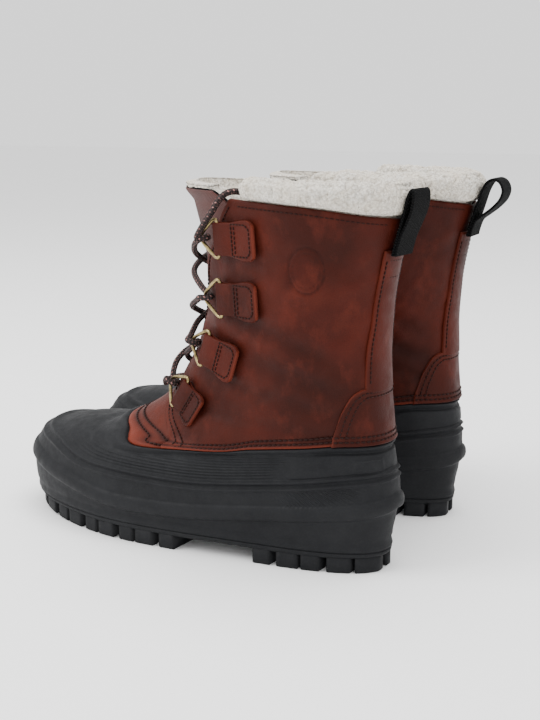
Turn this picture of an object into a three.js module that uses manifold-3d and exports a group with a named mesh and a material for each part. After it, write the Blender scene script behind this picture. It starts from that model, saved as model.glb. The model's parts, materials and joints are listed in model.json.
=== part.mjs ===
// A pair of insulated hunting boots: moulded rubber bottoms, leather uppers laced through
// wire rings, fleece collars and removable footbeds. Millimetres, +Z up, toes towards -Y.
// A boot is drawn in its own frame, u forward from the heel, v out to the little-toe side
// and z up. The left boot stands at +X, and the right boot is the left one mirrored.
import * as THREE from 'three';
import Module from 'manifold-3d';
import { mergeVertices } from 'three/addons/utils/BufferGeometryUtils.js';

const wasm = await Module();
wasm.setup();

// ---- driving dimensions -----------------------------------------------------------------
const FOOT_LENGTH = 313; // heel of the sole to the tip of the toe
const HEEL_SPACING = 134; // between the two heels, middle to middle
const TOE_IN = THREE.MathUtils.degToRad(3.6); // each boot turns its toe inwards
const BALL = 54.5; // half the width of the rubber at the ball of the foot
const HEEL = 43; // and at the heel
const ANKLE_FRONT = 143; // where the front of the leg comes nearest to the heel
const ANKLE = 38; // half the width of the ankle
const LEG = 54; // half the width of the leg at the rim
const RIM_BACK = 236; // height of the leather rim at the heel
const RIM_FRONT = 247.5; // and at its front corners
const COLLAR_BACK = 256; // height of the fleece collar
const COLLAR_FRONT = 260;
const TONGUE_TOP = 252;
const VAMP_TOP = 104; // height of the throat, where the lacing starts
const COUNTER_TOP = 128; // height of the heel counter

const OUTSOLE_TOP = 14; // the outsole's height, tread included
const TREAD_DEPTH = 6;
const ARCH_DEPTH = 8.5; // of the recess under the waist
const TOE_SPRING_START = 236; // where the tread begins to lift towards the toe
const TOE_SPRING_RADIUS = 470;
const SHELL_FLOOR = 4;
const RUBBER_WALL = 4;
const RIDGE_STEP = 1.6; // how far the band between the two ridges stands proud
const FLANGE_WALL = 2; // the rubber edge that the leather laps over
const FLANGE_LAP = 11;
const LEATHER = 2.2;
const OVERLAY = 1.8; // backstay and heel counter
const LINING = 6;
const FOOTBED = 10;
const TONGUE_LEAF = 2;

const GAP = 0.3; // between pieces that touch
const EASE = 0.9; // between curved layers that lie on each other
const LOOSE = 1.7; // round pieces that are lifted out or lean, the footbed and the tongue

const WEBBING_WIDTH = 24;
const WEBBING = 1.8;
const LOOP_FOOT = 214; // height of the pull loop's lower edge
const LOOP_RISE = 30; // height of the open loop
const LOOP_REACH = 19; // how far the open loop stands off the heel

const TAB_LENGTH = 33;
const TAB_WIDTH = 22;
const TAB_LAYER = 1.7; // one layer of the folded leather
const TAB_LIFT = 1.5; // keeps the flat tab clear of the curved leather
const RING_WIRE = 2.6;
const RING_REACH = 15; // bar to tip, middle of the wire
const RING_PITCH = THREE.MathUtils.degToRad(6); // the laced rings stand off the leather
const LACE = 4.4;
const LACE_EASE = 0.6;

// Where each ring's bar lies on the outer side, from the top down: height, angle round the
// boot, and how far the tab's rear end is turned down.
const LACING = [
  { z: 222, angle: 113, turn: 0 },
  { z: 182, angle: 117, turn: 0 },
  { z: 144, angle: 127, turn: 14 },
  { z: 109, angle: 131, turn: 30 },
];

// ---- curves through a few stations ---------------------------------------------------------
const rad = THREE.MathUtils.degToRad;
const { lerp, clamp, smoothstep } = THREE.MathUtils;

// A smooth curve through the stations that never overshoots them.
function through(stations) {
  const x = stations.map((s) => s[0]);
  const y = stations.map((s) => s[1]);
  const last = x.length - 1;
  const slope = [];
  for (let i = 0; i < last; i += 1) slope.push((y[i + 1] - y[i]) / (x[i + 1] - x[i]));
  const tangent = x.map((_, i) => {
    if (i === 0) return slope[0];
    if (i === last) return slope[last - 1];
    if (slope[i - 1] * slope[i] <= 0) return 0;
    return 2 / (1 / slope[i - 1] + 1 / slope[i]);
  });
  return (at) => {
    const q = clamp(at, x[0], x[last]);
    let i = 0;
    while (i < last - 1 && q > x[i + 1]) i += 1;
    const h = x[i + 1] - x[i];
    const t = (q - x[i]) / h;
    const a = y[i] * (1 + 2 * t) * (1 - t) ** 2 + tangent[i] * h * t * (1 - t) ** 2;
    return a + y[i + 1] * t * t * (3 - 2 * t) + tangent[i + 1] * h * t * t * (t - 1);
  };
}

// Level outlines of the outside, from the tread up: height, heel end, toe end, half widths
// near the heel (outer, inner side), half widths near the toe (outer, inner side), and how
// far both ends bend to the inner side.
const OUTLINES = [
  [0, 4, FOOT_LENGTH - 9, HEEL - 3, HEEL - 5, BALL - 0.5, BALL - 4.5, 7],
  [12, 3, FOOT_LENGTH - 5, HEEL - 2, HEEL - 4, BALL + 1.5, BALL - 3.5, 7],
  [26, 2, FOOT_LENGTH - 1, HEEL - 1, HEEL - 3, BALL + 2.5, BALL - 2.5, 7],
  [36, 0, FOOT_LENGTH, HEEL, HEEL - 2, BALL + 2.5, BALL - 2.5, 7],
  [48, -1, FOOT_LENGTH - 3, HEEL + 1, HEEL - 1, BALL + 0.5, BALL - 4.5, 7],
  [58, 0, FOOT_LENGTH - 8, HEEL, HEEL - 1, BALL - 2, BALL - 7, 7],
  [66, 1, FOOT_LENGTH - 18, HEEL, HEEL - 2, BALL - 5.5, BALL - 10.5, 6],
  [73, 2, FOOT_LENGTH - 42, HEEL - 1, HEEL - 2, ANKLE + 7, ANKLE + 2, 5],
  [79, 3, ANKLE_FRONT + 86, HEEL - 1, HEEL - 3, ANKLE + 5, ANKLE + 1, 4],
  [89, 5, ANKLE_FRONT + 60, ANKLE + 3, ANKLE + 2, ANKLE + 2, ANKLE, 3],
  [106, 7, ANKLE_FRONT + 35, ANKLE + 2, ANKLE + 1, ANKLE, ANKLE - 1, 2],
  [126, 9, ANKLE_FRONT + 20, ANKLE + 2, ANKLE + 1, ANKLE, ANKLE - 1, 1],
  [150, 10, ANKLE_FRONT + 6, ANKLE + 4, ANKLE + 3, ANKLE, ANKLE, 0],
  [180, 8.5, ANKLE_FRONT, LEG - 8, LEG - 8, LEG - 13.5, LEG - 13.5, 0],
  [210, 3.5, ANKLE_FRONT + 5, LEG - 4, LEG - 4, LEG - 11, LEG - 11, 0],
  [240, -4, ANKLE_FRONT + 13, LEG, LEG, LEG - 9, LEG - 9, 0],
  [266, -9, ANKLE_FRONT + 21, LEG + 2, LEG + 2, LEG - 8, LEG - 8, 0],
];
const column = (k) => through(OUTLINES.map((row) => [row[0], row[k]]));
const [heelEnd, toeEnd, rearOuter, rearInner, frontOuter, frontInner, swing] = [1, 2, 3, 4, 5, 6, 7].map(column);

// Lines round the boot: angle from the middle of the heel against height. Both sides match.
const around = (stations) => {
  const line = through(stations);
  return (angle) => line(Math.abs(((angle + 540) % 360) - 180));
};
const hem = around([[0, 90], [38, 90.5], [61, 87], [80, 82], [90, 75], [104, 71], [118, 75], [138, 79], [180, 85]]);
const lowerRidge = around([[0, 45], [33, 40], [60, 35], [95, 26], [120, 34], [150, 42], [180, 44]]);
const upperRidge = around([[0, 66], [33, 63], [60, 56], [90, 48], [107, 49], [135, 58], [180, 63]]);
const rim = around([[0, RIM_BACK], [31, RIM_BACK + 3], [67, RIM_FRONT - 3], [106, RIM_FRONT]]);
const collar = around([[0, COLLAR_BACK], [50, COLLAR_BACK + 2], [100, COLLAR_FRONT]]);
const liningTop = (angle) => rim(angle) - 1;
const counter = around([[0, COUNTER_TOP], [22, COUNTER_TOP], [31, COUNTER_TOP - 3], [41, COUNTER_TOP - 16], [46, COUNTER_TOP - 34]]);

// Front edges: height against angle.
const vampEdge = (z) => 97 + 1.66 * (z - 72);
const facing = through([
  [VAMP_TOP, 150], [VAMP_TOP + 8, 155], [150, 156], [180, 149], [204, 136], [220, 123], [RIM_FRONT - 10, 113], [RIM_FRONT, 106],
]);
const tongueEdge = through([
  [VAMP_TOP, 147], [150, 149], [180, 142], [204, 129], [220, 117], [RIM_FRONT - 10, 107.5], [RIM_FRONT - 2, 110], [TONGUE_TOP, 117],
]);
// The side view of the opening that the tongue fills in the lining: its rear edge, downwards.
const TONGUE_OPENING = [
  [90, RIM_FRONT - 11], [99, 220], [109, 204], [ANKLE_FRONT - 28, 180], [ANKLE_FRONT - 20, 150],
  [ANKLE_FRONT - 8, VAMP_TOP + 22], [ANKLE_FRONT + 5, VAMP_TOP + 4], [ANKLE_FRONT + 20, VAMP_TOP - 10],
  [ANKLE_FRONT + 34, VAMP_TOP - 15], [FOOT_LENGTH, VAMP_TOP - 15],
];
const COLLAR_END = 97; // the angle where the collar stops beside the tongue

// ---- the outside of a boot -----------------------------------------------------------------
const power = (value, exponent) => Math.sign(value) * Math.abs(value) ** exponent;

// The point of the level outline at height z that lies at angle, in degrees: 0 is the middle
// of the heel, 90 the outer side and 180 the toe.
function outline(angle, z) {
  const c = Math.cos(rad(angle));
  const s = Math.sin(rad(angle));
  const square = c > 0 ? lerp(2.4, 2.05, smoothstep(z, 106, 240)) : lerp(2.6, 2.1, smoothstep(z, 50, 79));
  const along = -power(c, 2 / square);
  const side = power(s, 2 / square);
  const blend = smoothstep(along, -0.55, 0.45);
  const outer = lerp(rearOuter(z), frontOuter(z), blend);
  const inner = lerp(rearInner(z), frontInner(z), blend);
  const u = lerp(heelEnd(z), toeEnd(z), (along + 1) / 2);
  const v = swing(z) * (0.35 - along * along) + side * (s >= 0 ? outer : inner);
  return new THREE.Vector3(u, v, z);
}

const TINY = 0.02;

function normal(angle, z) {
  const across = outline(angle + 1, z).sub(outline(angle - 1, z));
  const up = outline(angle, z + TINY).sub(outline(angle, z - TINY));
  return up.cross(across).normalize();
}

// A point off the outside by depth, which is negative inwards.
function skin(angle, z, depth) {
  return outline(angle, z).addScaledVector(normal(angle, z), depth);
}

// ---- meshes --------------------------------------------------------------------------------
// From the boot's own frame to the group's: x out to the little-toe side, toes to -y.
const placed = (p) => [p.y, -p.x, p.z];

function solid(points, faces) {
  const geometry = new THREE.BufferGeometry();
  geometry.setAttribute('position', new THREE.Float32BufferAttribute(points.flatMap(placed), 3));
  geometry.setIndex(faces);
  return geometry;
}

// Loops of equal length, one above the other round a closed solid. The first and the last
// one are filled, or the stack itself is closed when ring is true.
function stack(loops, ring = false) {
  const n = loops[0].length;
  const points = loops.flat();
  const faces = [];
  const pairs = ring ? loops.length : loops.length - 1;
  for (let j = 0; j < pairs; j += 1) {
    const a = j * n;
    const b = ((j + 1) % loops.length) * n;
    for (let i = 0; i < n; i += 1) {
      const k = (i + 1) % n;
      faces.push(a + i, b + k, a + k, a + i, b + i, b + k);
    }
  }
  if (!ring) {
    for (const [base, forward] of [[0, false], [(loops.length - 1) * n, true]]) {
      const middle = new THREE.Vector3();
      for (let i = 0; i < n; i += 1) middle.addScaledVector(points[base + i], 1 / n);
      points.push(middle);
      for (let i = 0; i < n; i += 1) {
        const k = (i + 1) % n;
        if (forward) faces.push(points.length - 1, base + k, base + i);
        else faces.push(points.length - 1, base + i, base + k);
      }
    }
  }
  return solid(points, faces);
}

const shares = (count) => Array.from({ length: count + 1 }, (_, i) => i / count);

// A sheet of leather or cloth with thickness. place(s, t, layer) gives its points at the
// shares s across and t up, both from 0 to 1: layer is 0 on the inner face and 1 on the outer.
function sheet(across, up, place) {
  const loops = across.map((s) => [
    ...up.map((t) => place(s, t, 1)),
    ...up.toReversed().map((t) => place(s, t, 0)),
  ]);
  const columns = across.length - 1;
  const rows = up.length - 1;
  const n = loops[0].length;
  const points = loops.flat();
  const faces = [];
  for (let i = 0; i < columns; i += 1) {
    for (let j = 0; j < n; j += 1) {
      const k = (j + 1) % n;
      const a = i * n;
      const b = a + n;
      faces.push(a + j, b + j, b + k, a + j, b + k, a + k);
    }
  }
  const end = columns * n;
  for (let j = 0; j < rows; j += 1) {
    const back = n - 1 - j;
    faces.push(j, j + 1, back - 1, j, back - 1, back);
    faces.push(end + j, end + back - 1, end + j + 1, end + j, end + back, end + back - 1);
  }
  return solid(points, faces);
}

function toManifold(geometry) {
  const bare = geometry.clone();
  bare.deleteAttribute('normal');
  bare.deleteAttribute('uv');
  const merged = mergeVertices(bare, 1e-4);
  const vertProperties = Float32Array.from(merged.attributes.position.array);
  const triVerts = Uint32Array.from(merged.index.array);
  return new wasm.Manifold(new wasm.Mesh({ numProp: 3, vertProperties, triVerts }));
}

// A side view, [u, z] points, drawn right through the boot.
const OUTSIDE = 90; // past the boot on either side
function sideways(points) {
  return throughBoot(new THREE.Shape(points.map(([u, z]) => new THREE.Vector2(u, z))), OUTSIDE);
}

function throughBoot(shape, half) {
  const geometry = new THREE.ExtrudeGeometry(shape, { depth: 2 * half, bevelEnabled: false });
  return geometry.rotateX(Math.PI / 2).rotateZ(-Math.PI / 2).translate(half, 0, 0);
}

function fromManifold(body) {
  const mesh = body.getMesh();
  const geometry = new THREE.BufferGeometry();
  geometry.setAttribute('position', new THREE.Float32BufferAttribute(mesh.vertProperties, 3));
  geometry.setIndex(Array.from(mesh.triVerts));
  return geometry;
}

const STEP = 8; // degrees between the points of a loop
const loopAngles = Array.from({ length: 360 / STEP }, (_, i) => i * STEP);
const loop = (height, depth) => loopAngles.map((angle) => {
  const z = typeof height === 'number' ? height : height(angle);
  return skin(angle, z, depth);
});
const levelLoop = (z, depth) => loop(z, depth).map((point) => point.setZ(z));
const between = (low, high, t) => (angle) => lerp(low(angle), high(angle), t);
const level = (z) => () => z;
const raised = (line, by) => (angle) => line(angle) + by;

// ---- sole and shell --------------------------------------------------------------------------
function flatSlab(uFrom, uTo, vFrom, vTo, zFrom, zTo) {
  const box = new THREE.BoxGeometry(vTo - vFrom, uTo - uFrom, zTo - zFrom);
  return box.translate((vFrom + vTo) / 2, -(uFrom + uTo) / 2, (zFrom + zTo) / 2);
}

const HEEL_BLOCK_END = 87;
const ARCH_END = 147;
const TREAD_PITCH = 17;
const TREAD_GROOVE = 5;

function outsole() {
  let body = toManifold(outwards(stack([levelLoop(0, -RIDGE_STEP), levelLoop(OUTSOLE_TOP, -RIDGE_STEP)])));
  const cut = (geometry) => {
    body = body.subtract(toManifold(outwards(geometry)));
  };
  const groove = (from, to) => cut(flatSlab(from, to, -OUTSIDE, OUTSIDE, -1, TREAD_DEPTH));
  cut(sideways([
    [HEEL_BLOCK_END, -1],
    [HEEL_BLOCK_END + 4, ARCH_DEPTH],
    [ARCH_END - 4, ARCH_DEPTH],
    [ARCH_END, -1],
  ]));
  for (let u = ARCH_END + TREAD_PITCH - TREAD_GROOVE; u < FOOT_LENGTH - 22; u += TREAD_PITCH) {
    groove(u, u + TREAD_GROOVE);
  }
  for (let u = HEEL_BLOCK_END - TREAD_PITCH; u > TREAD_PITCH; u -= TREAD_PITCH) {
    groove(u - TREAD_GROOVE, u);
  }
  cut(flatSlab(ARCH_END - TREAD_GROOVE, FOOT_LENGTH - 30, -3, 3, -1, TREAD_DEPTH));
  const reach = FOOT_LENGTH + 5 - TOE_SPRING_START;
  const lifted = [0.25, 0.5, 0.75, 1].map((share) => [
    TOE_SPRING_START + share * reach,
    (share * reach) ** 2 / (2 * TOE_SPRING_RADIUS),
  ]);
  cut(sideways([[TOE_SPRING_START, -1], ...lifted, [TOE_SPRING_START + reach, -1]]));
  return fromManifold(body);
}

const shellBottom = OUTSOLE_TOP + GAP;
const shellFloor = shellBottom + SHELL_FLOOR;
const flangeDepth = -(LEATHER + EASE + GAP);
const flangeTop = raised(hem, FLANGE_LAP);

// One rubber cup: bottom, wall with the band between its two ridges, step under the
// leather's hem, flange, and down again on the inside.
function shell() {
  const underHem = raised(hem, -EASE);
  const low = raised(lowerRidge, -1);
  const high = raised(upperRidge, 1);
  return stack([
    levelLoop(shellBottom, -RIDGE_STEP),
    loop(low, -RIDGE_STEP),
    loop(lowerRidge, 0),
    loop(between(lowerRidge, upperRidge, 0.5), 0),
    loop(upperRidge, 0),
    loop(high, -0.7),
    loop(between(high, underHem, 0.3), -0.5),
    loop(between(high, underHem, 0.55), -0.2),
    loop(between(high, underHem, 0.8), 0),
    loop(underHem, 0),
    loop(underHem, flangeDepth),
    loop(flangeTop, flangeDepth),
    loop(flangeTop, flangeDepth - FLANGE_WALL),
    loop(raised(hem, -2), flangeDepth - FLANGE_WALL),
    loop(between(high, underHem, 0.6), -RUBBER_WALL - 0.3),
    loop(between(high, underHem, 0.3), -RUBBER_WALL - 0.3),
    loop(between(lowerRidge, upperRidge, 0.6), -RUBBER_WALL),
    loop(lowerRidge, -RUBBER_WALL - 0.4),
    levelLoop(shellFloor, -RUBBER_WALL - RIDGE_STEP),
  ]);
}

const footbedDepth = -(RUBBER_WALL + RIDGE_STEP + LOOSE);
const footbedTop = shellFloor + GAP + FOOTBED;

function footbed() {
  return stack([levelLoop(shellFloor + GAP, footbedDepth), levelLoop(footbedTop, footbedDepth)]);
}

// ---- lining ----------------------------------------------------------------------------------
const shaftDepth = -(LEATHER + LOOSE);
const footDepth = flangeDepth - FLANGE_WALL - LOOSE - GAP;

// The lining lies against the rubber low down, and against the leather above the flange.
function liningDepth(angle, z) {
  const low = footbedDepth;
  const atFlange = lerp(low, footDepth, smoothstep(z, lowerRidge(angle), hem(angle) - 8));
  return lerp(atFlange, shaftDepth, smoothstep(z, flangeTop(angle) + 1, flangeTop(angle) + 9));
}

function feltLining() {
  const bottom = footbedTop + GAP;
  const share = [0, 0.1, 0.16, 0.22, 0.27, 0.32, 0.38, 0.46, 0.56, 0.68, 0.84, 1];
  const layer = (t, inwards) => loopAngles.map((angle) => {
    const z = lerp(bottom, liningTop(angle), t);
    return skin(angle, z, liningDepth(angle, z) - inwards);
  });
  const outside = share.map((t) => layer(t, 0));
  const inside = [1, 0.68, 0.46, 0.38, 0.3, 0.2, 0.1, 0].map((t) => layer(t, LINING));
  const opening = sideways([
    [TONGUE_OPENING[0][0], COLLAR_FRONT],
    ...TONGUE_OPENING,
    [FOOT_LENGTH, COLLAR_FRONT],
  ]);
  return fromManifold(toManifold(outwards(stack([...outside, ...inside], true))).subtract(toManifold(outwards(opening))));
}

function fleeceCollar() {
  const profile = [[0, 0], [0.2, 1.6], [0.75, 2], [1, -1.5], [1, -5.5], [0.75, -9.3], [0, -9.3]];
  const columns = 20;
  const loops = [];
  for (let i = 0; i <= columns; i += 1) {
    const angle = lerp(-COLLAR_END, COLLAR_END, i / columns);
    loops.push(profile.map(([height, depth]) => {
      const z = lerp(rim(angle) + GAP, collar(angle), height);
      return skin(angle, z, depth);
    }));
  }
  return ends(loops);
}

// A row of equal flat loops side by side, closed at its two ends.
function ends(loops) {
  const n = loops[0].length;
  const points = loops.flat();
  const faces = [];
  for (let i = 0; i < loops.length - 1; i += 1) {
    for (let j = 0; j < n; j += 1) {
      const k = (j + 1) % n;
      const a = i * n;
      const b = a + n;
      faces.push(a + j, b + k, b + j, a + j, a + k, b + k);
    }
  }
  const last = (loops.length - 1) * n;
  for (let j = 1; j < n - 1; j += 1) {
    faces.push(0, j + 1, j);
    faces.push(last, last + j, last + j + 1);
  }
  return solid(points, faces);
}

// ---- uppers ------------------------------------------------------------------------------------
const seamLow = vampEdge(hem(97));
const loopShares = (from, to) => {
  const inside = loopAngles.filter((angle) => angle > from + 2 && angle < to - 2);
  return [from, ...inside, to].map((angle) => (angle - from) / (to - from));
};

// The angle where an edge, given as angle against height, meets share t of the way from the
// hem up to a top line.
function meeting(edge, top, t) {
  let angle = 110;
  for (let i = 0; i < 40; i += 1) angle = lerp(angle, edge(lerp(hem(angle), top(angle), t)), 0.4);
  return angle;
}

const SEAM = 0.6; // degrees from the seam to either edge
const vampTop = level(VAMP_TOP - GAP);
const quarterEdge = (z) => (z < VAMP_TOP ? vampEdge(z) - SEAM : facing(z));

function vamp() {
  const low = seamLow + SEAM;
  return sheet(loopShares(low, 360 - low), shares(3), (s, t, layer) => {
    const edge = meeting((z) => vampEdge(z) + SEAM, vampTop, t);
    const angle = lerp(edge, 360 - edge, s);
    const z = lerp(hem(angle), VAMP_TOP - GAP, t);
    return skin(angle, z, layer ? 0 : -LEATHER);
  });
}

// side is 1 for the outer half and -1 for the inner half.
function quarter(side) {
  const backSeam = 0.35;
  const up = [0, 0.06, 0.12, 0.18, 0.27, 0.4, 0.54, 0.68, 0.84, 1];
  const across = loopShares(backSeam, seamLow - SEAM);
  return sheet(across, up, (s, t, layer) => {
    const angle = lerp(backSeam, meeting(quarterEdge, rim, t), s);
    const z = lerp(hem(angle), rim(angle), t);
    return skin(side * angle, z, layer ? 0 : -LEATHER);
  });
}

const overlaid = (layer) => 2 * GAP + layer * OVERLAY;

function heelCounter() {
  const half = 45;
  return sheet(shares(14), shares(3), (s, t, layer) => {
    const angle = lerp(-half, half, s);
    const z = lerp(hem(angle) + 0.5, counter(angle), t);
    return skin(angle, z, overlaid(layer));
  });
}

const stripEdge = through([[COUNTER_TOP, 22], [154, 19], [170, 16], [196, 14], [RIM_BACK, 13]]);

function backstay() {
  return sheet(shares(4), shares(5), (s, t, layer) => {
    const z = lerp(COUNTER_TOP + 2 * GAP, LOOP_FOOT - GAP, t);
    const angle = lerp(-1, 1, s) * stripEdge(z);
    return skin(angle, z, overlaid(layer));
  });
}

const TONGUE_FOOT = VAMP_TOP - 4;
const tongueDepth = -(LEATHER + LOOSE);

function tongueSheet(margin, topDrop, outerDepth, thickness, columns) {
  return sheet(shares(columns), shares(7), (s, t, layer) => {
    const z = lerp(TONGUE_FOOT, TONGUE_TOP - topDrop, t);
    const edge = tongueEdge(z) + margin;
    const angle = lerp(edge, 360 - edge, s);
    const flare = (LEATHER + LOOSE) * smoothstep(z, RIM_FRONT - 6, TONGUE_TOP);
    return skin(angle, z, outerDepth + flare - (layer ? 0 : thickness));
  });
}

function tongue() {
  return tongueSheet(0, 0, tongueDepth, TONGUE_LEAF, 12);
}

function tongueLining() {
  return tongueSheet(2, 2, tongueDepth - TONGUE_LEAF - EASE, LINING, 10);
}

// ---- pull loop ---------------------------------------------------------------------------------
// Two layers of webbing sewn to the heel, opening into a drop-shaped loop above.
function pullLoop() {
  const off = OVERLAY + 3 * GAP;
  const back = (z, out) => new THREE.Vector2(heelEnd(z) - off - out, z);
  const neck = LOOP_FOOT + 12;
  const top = neck + LOOP_RISE;
  const outside = new THREE.Shape([
    back(LOOP_FOOT, 0),
    back(neck, 0),
    back(lerp(neck, top, 0.75), 1),
    back(top - 1.5, 4),
    back(top, 9),
    back(top - 2, LOOP_REACH - 3),
    back(lerp(neck, top, 0.72), LOOP_REACH),
    back(lerp(neck, top, 0.45), LOOP_REACH - 5),
    back(neck, 2 * WEBBING + 1),
    back(LOOP_FOOT, 2 * WEBBING),
  ]);
  outside.holes.push(new THREE.Path([
    back(neck + 3.5, WEBBING + 0.8),
    back(lerp(neck, top, 0.72), WEBBING + 1),
    back(top - WEBBING - 1.2, 5.5),
    back(top - WEBBING, 9),
    back(top - WEBBING - 1.6, LOOP_REACH - 4.5),
    back(lerp(neck, top, 0.7), LOOP_REACH - WEBBING),
    back(lerp(neck, top, 0.47), LOOP_REACH - 5 - WEBBING),
  ]));
  return throughBoot(outside, WEBBING_WIDTH / 2);
}

// ---- lace tabs, rings and lace --------------------------------------------------------------------
const eyeRadius = RING_WIRE / 2 + GAP + TAB_LAYER;
const barHeight = TAB_LIFT + eyeRadius;

// The place of one ring: origin on the leather under its bar, forward towards the tongue,
// up along the bar and out from the leather.
function ringFrame({ z, angle, turn }, side) {
  const signed = side * angle;
  const origin = outline(signed, z);
  const out = normal(signed, z);
  const along = outline(signed + side, z).sub(outline(signed - side, z)).normalize();
  const up = new THREE.Vector3().crossVectors(out, along).multiplyScalar(side).normalize();
  if (up.z < 0) up.negate();
  const tilt = rad(turn);
  const forward = along.clone().multiplyScalar(Math.cos(tilt)).addScaledVector(up, Math.sin(tilt));
  const bar = up.clone().multiplyScalar(Math.cos(tilt)).addScaledVector(along, -Math.sin(tilt));
  return { origin, out, forward, bar, signed, z, tilt, side };
}

// The leather's face behind the ring, at distance rearward from the bar.
function behind(frame, distance) {
  const steps = 6;
  let angle = frame.signed;
  let { z } = frame;
  for (let i = 0; i < steps; i += 1) {
    const perDegree = outline(angle + 1, z).distanceTo(outline(angle - 1, z)) / 2;
    const perRise = outline(angle, z + 1).distanceTo(outline(angle, z - 1)) / 2;
    angle -= (frame.side * (distance / steps) * Math.cos(frame.tilt)) / perDegree;
    z -= ((distance / steps) * Math.sin(frame.tilt)) / perRise;
  }
  const point = outline(angle, z);
  const drift = point.clone().sub(frame.origin).dot(frame.bar);
  const out = normal(angle, z);
  out.addScaledVector(frame.bar, -out.dot(frame.bar)).normalize();
  return { point: point.addScaledVector(frame.bar, -drift), out };
}

// Leather folded round the bar: an eye in front and two layers sewn flat behind.
function tab(frame) {
  const eye = (radius, degrees) => new THREE.Vector2(
    radius * Math.cos(rad(degrees)),
    barHeight + radius * Math.sin(rad(degrees)),
  );
  const flat = [8, 16, 24, TAB_LENGTH - 2];
  const shape = new THREE.Shape([
    ...[60, 100, 140, 180, 220, 260].map((degrees) => eye(eyeRadius, degrees)),
    ...flat.map((a) => new THREE.Vector2(a, TAB_LIFT)),
    ...flat.toReversed().map((a) => new THREE.Vector2(a, TAB_LIFT + 2 * TAB_LAYER)),
  ]);
  const holeAngles = [0, 60, 120, 180, 240, 300];
  const holeRadius = (RING_WIRE / 2 + GAP) / Math.cos(rad(30));
  shape.holes.push(new THREE.Path(holeAngles.map((degrees) => eye(holeRadius, degrees))));
  const geometry = new THREE.ExtrudeGeometry(shape, { depth: TAB_WIDTH, bevelEnabled: false });
  const position = geometry.attributes.position;
  for (let i = 0; i < position.count; i += 1) {
    const a = position.getX(i);
    const height = position.getY(i);
    const width = position.getZ(i) - TAB_WIDTH / 2;
    const rigid = a < 7;
    const base = rigid ? frame : behind(frame, a);
    const point = (rigid ? frame.origin.clone().addScaledVector(frame.forward, -a) : base.point)
      .addScaledVector(base.out, height)
      .addScaledVector(frame.bar, width);
    position.setXYZ(i, ...placed(point));
  }
  return outwards(geometry);
}

// Turns every face round if the solid is inside out.
function outwards(geometry) {
  const index = geometry.index ? Array.from(geometry.index.array) : [...Array(geometry.attributes.position.count).keys()];
  const p = geometry.attributes.position;
  let volume = 0;
  const corner = (i) => new THREE.Vector3().fromBufferAttribute(p, i);
  for (let i = 0; i < index.length; i += 3) {
    volume += corner(index[i]).dot(corner(index[i + 1]).cross(corner(index[i + 2])));
  }
  if (volume < 0) {
    for (let i = 0; i < index.length; i += 3) [index[i], index[i + 1]] = [index[i + 1], index[i]];
  }
  const turned = new THREE.BufferGeometry();
  turned.setAttribute('position', p.clone());
  turned.setIndex(index);
  return turned;
}

// A route with a bend at each of its points.
class Route extends THREE.Curve {
  constructor(points, closed = false) {
    super();
    this.points = points;
    this.closed = closed;
  }

  get spans() {
    return this.closed ? this.points.length : this.points.length - 1;
  }

  at(i) {
    const n = this.points.length;
    return this.closed ? this.points[(i + n) % n] : this.points[clamp(i, 0, n - 1)];
  }

  getPointAt(t, target = new THREE.Vector3()) {
    const whole = Math.round(t * this.spans);
    return target.copy(this.at(whole));
  }

  getPoint(t, target) {
    return this.getPointAt(t, target);
  }

  getTangentAt(t, target = new THREE.Vector3()) {
    const i = Math.round(t * this.spans);
    const before = this.at(i).clone().sub(this.at(i - 1)).normalize();
    const after = this.at(i + 1).clone().sub(this.at(i)).normalize();
    return target.copy(before).add(after).normalize();
  }
}

const reaching = (frame) => frame.forward.clone().multiplyScalar(Math.cos(RING_PITCH))
  .addScaledVector(frame.out, Math.sin(RING_PITCH));
const barCentre = (frame) => frame.origin.clone().addScaledVector(frame.out, barHeight);
const ringHalf = TAB_WIDTH / 2 + RING_WIRE / 2 + GAP;

function ring(frame) {
  const centre = barCentre(frame);
  const forward = reaching(frame);
  const outlinePoints = [
    [-ringHalf + 1.2, 0], [ringHalf - 1.2, 0], [ringHalf, 1.2], [ringHalf - 0.3, 3.5], [3.6, RING_REACH - 1.4],
    [0, RING_REACH], [-3.6, RING_REACH - 1.4], [-ringHalf + 0.3, 3.5], [-ringHalf, 1.2],
  ];
  const points = outlinePoints.map(([across, reach]) => {
    const p = centre.clone().addScaledVector(frame.bar, across).addScaledVector(forward, reach);
    return new THREE.Vector3(...placed(p));
  });
  const route = new Route(points, true);
  return outwards(new THREE.TubeGeometry(route, points.length, RING_WIRE / 2, 6, true));
}

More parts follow.
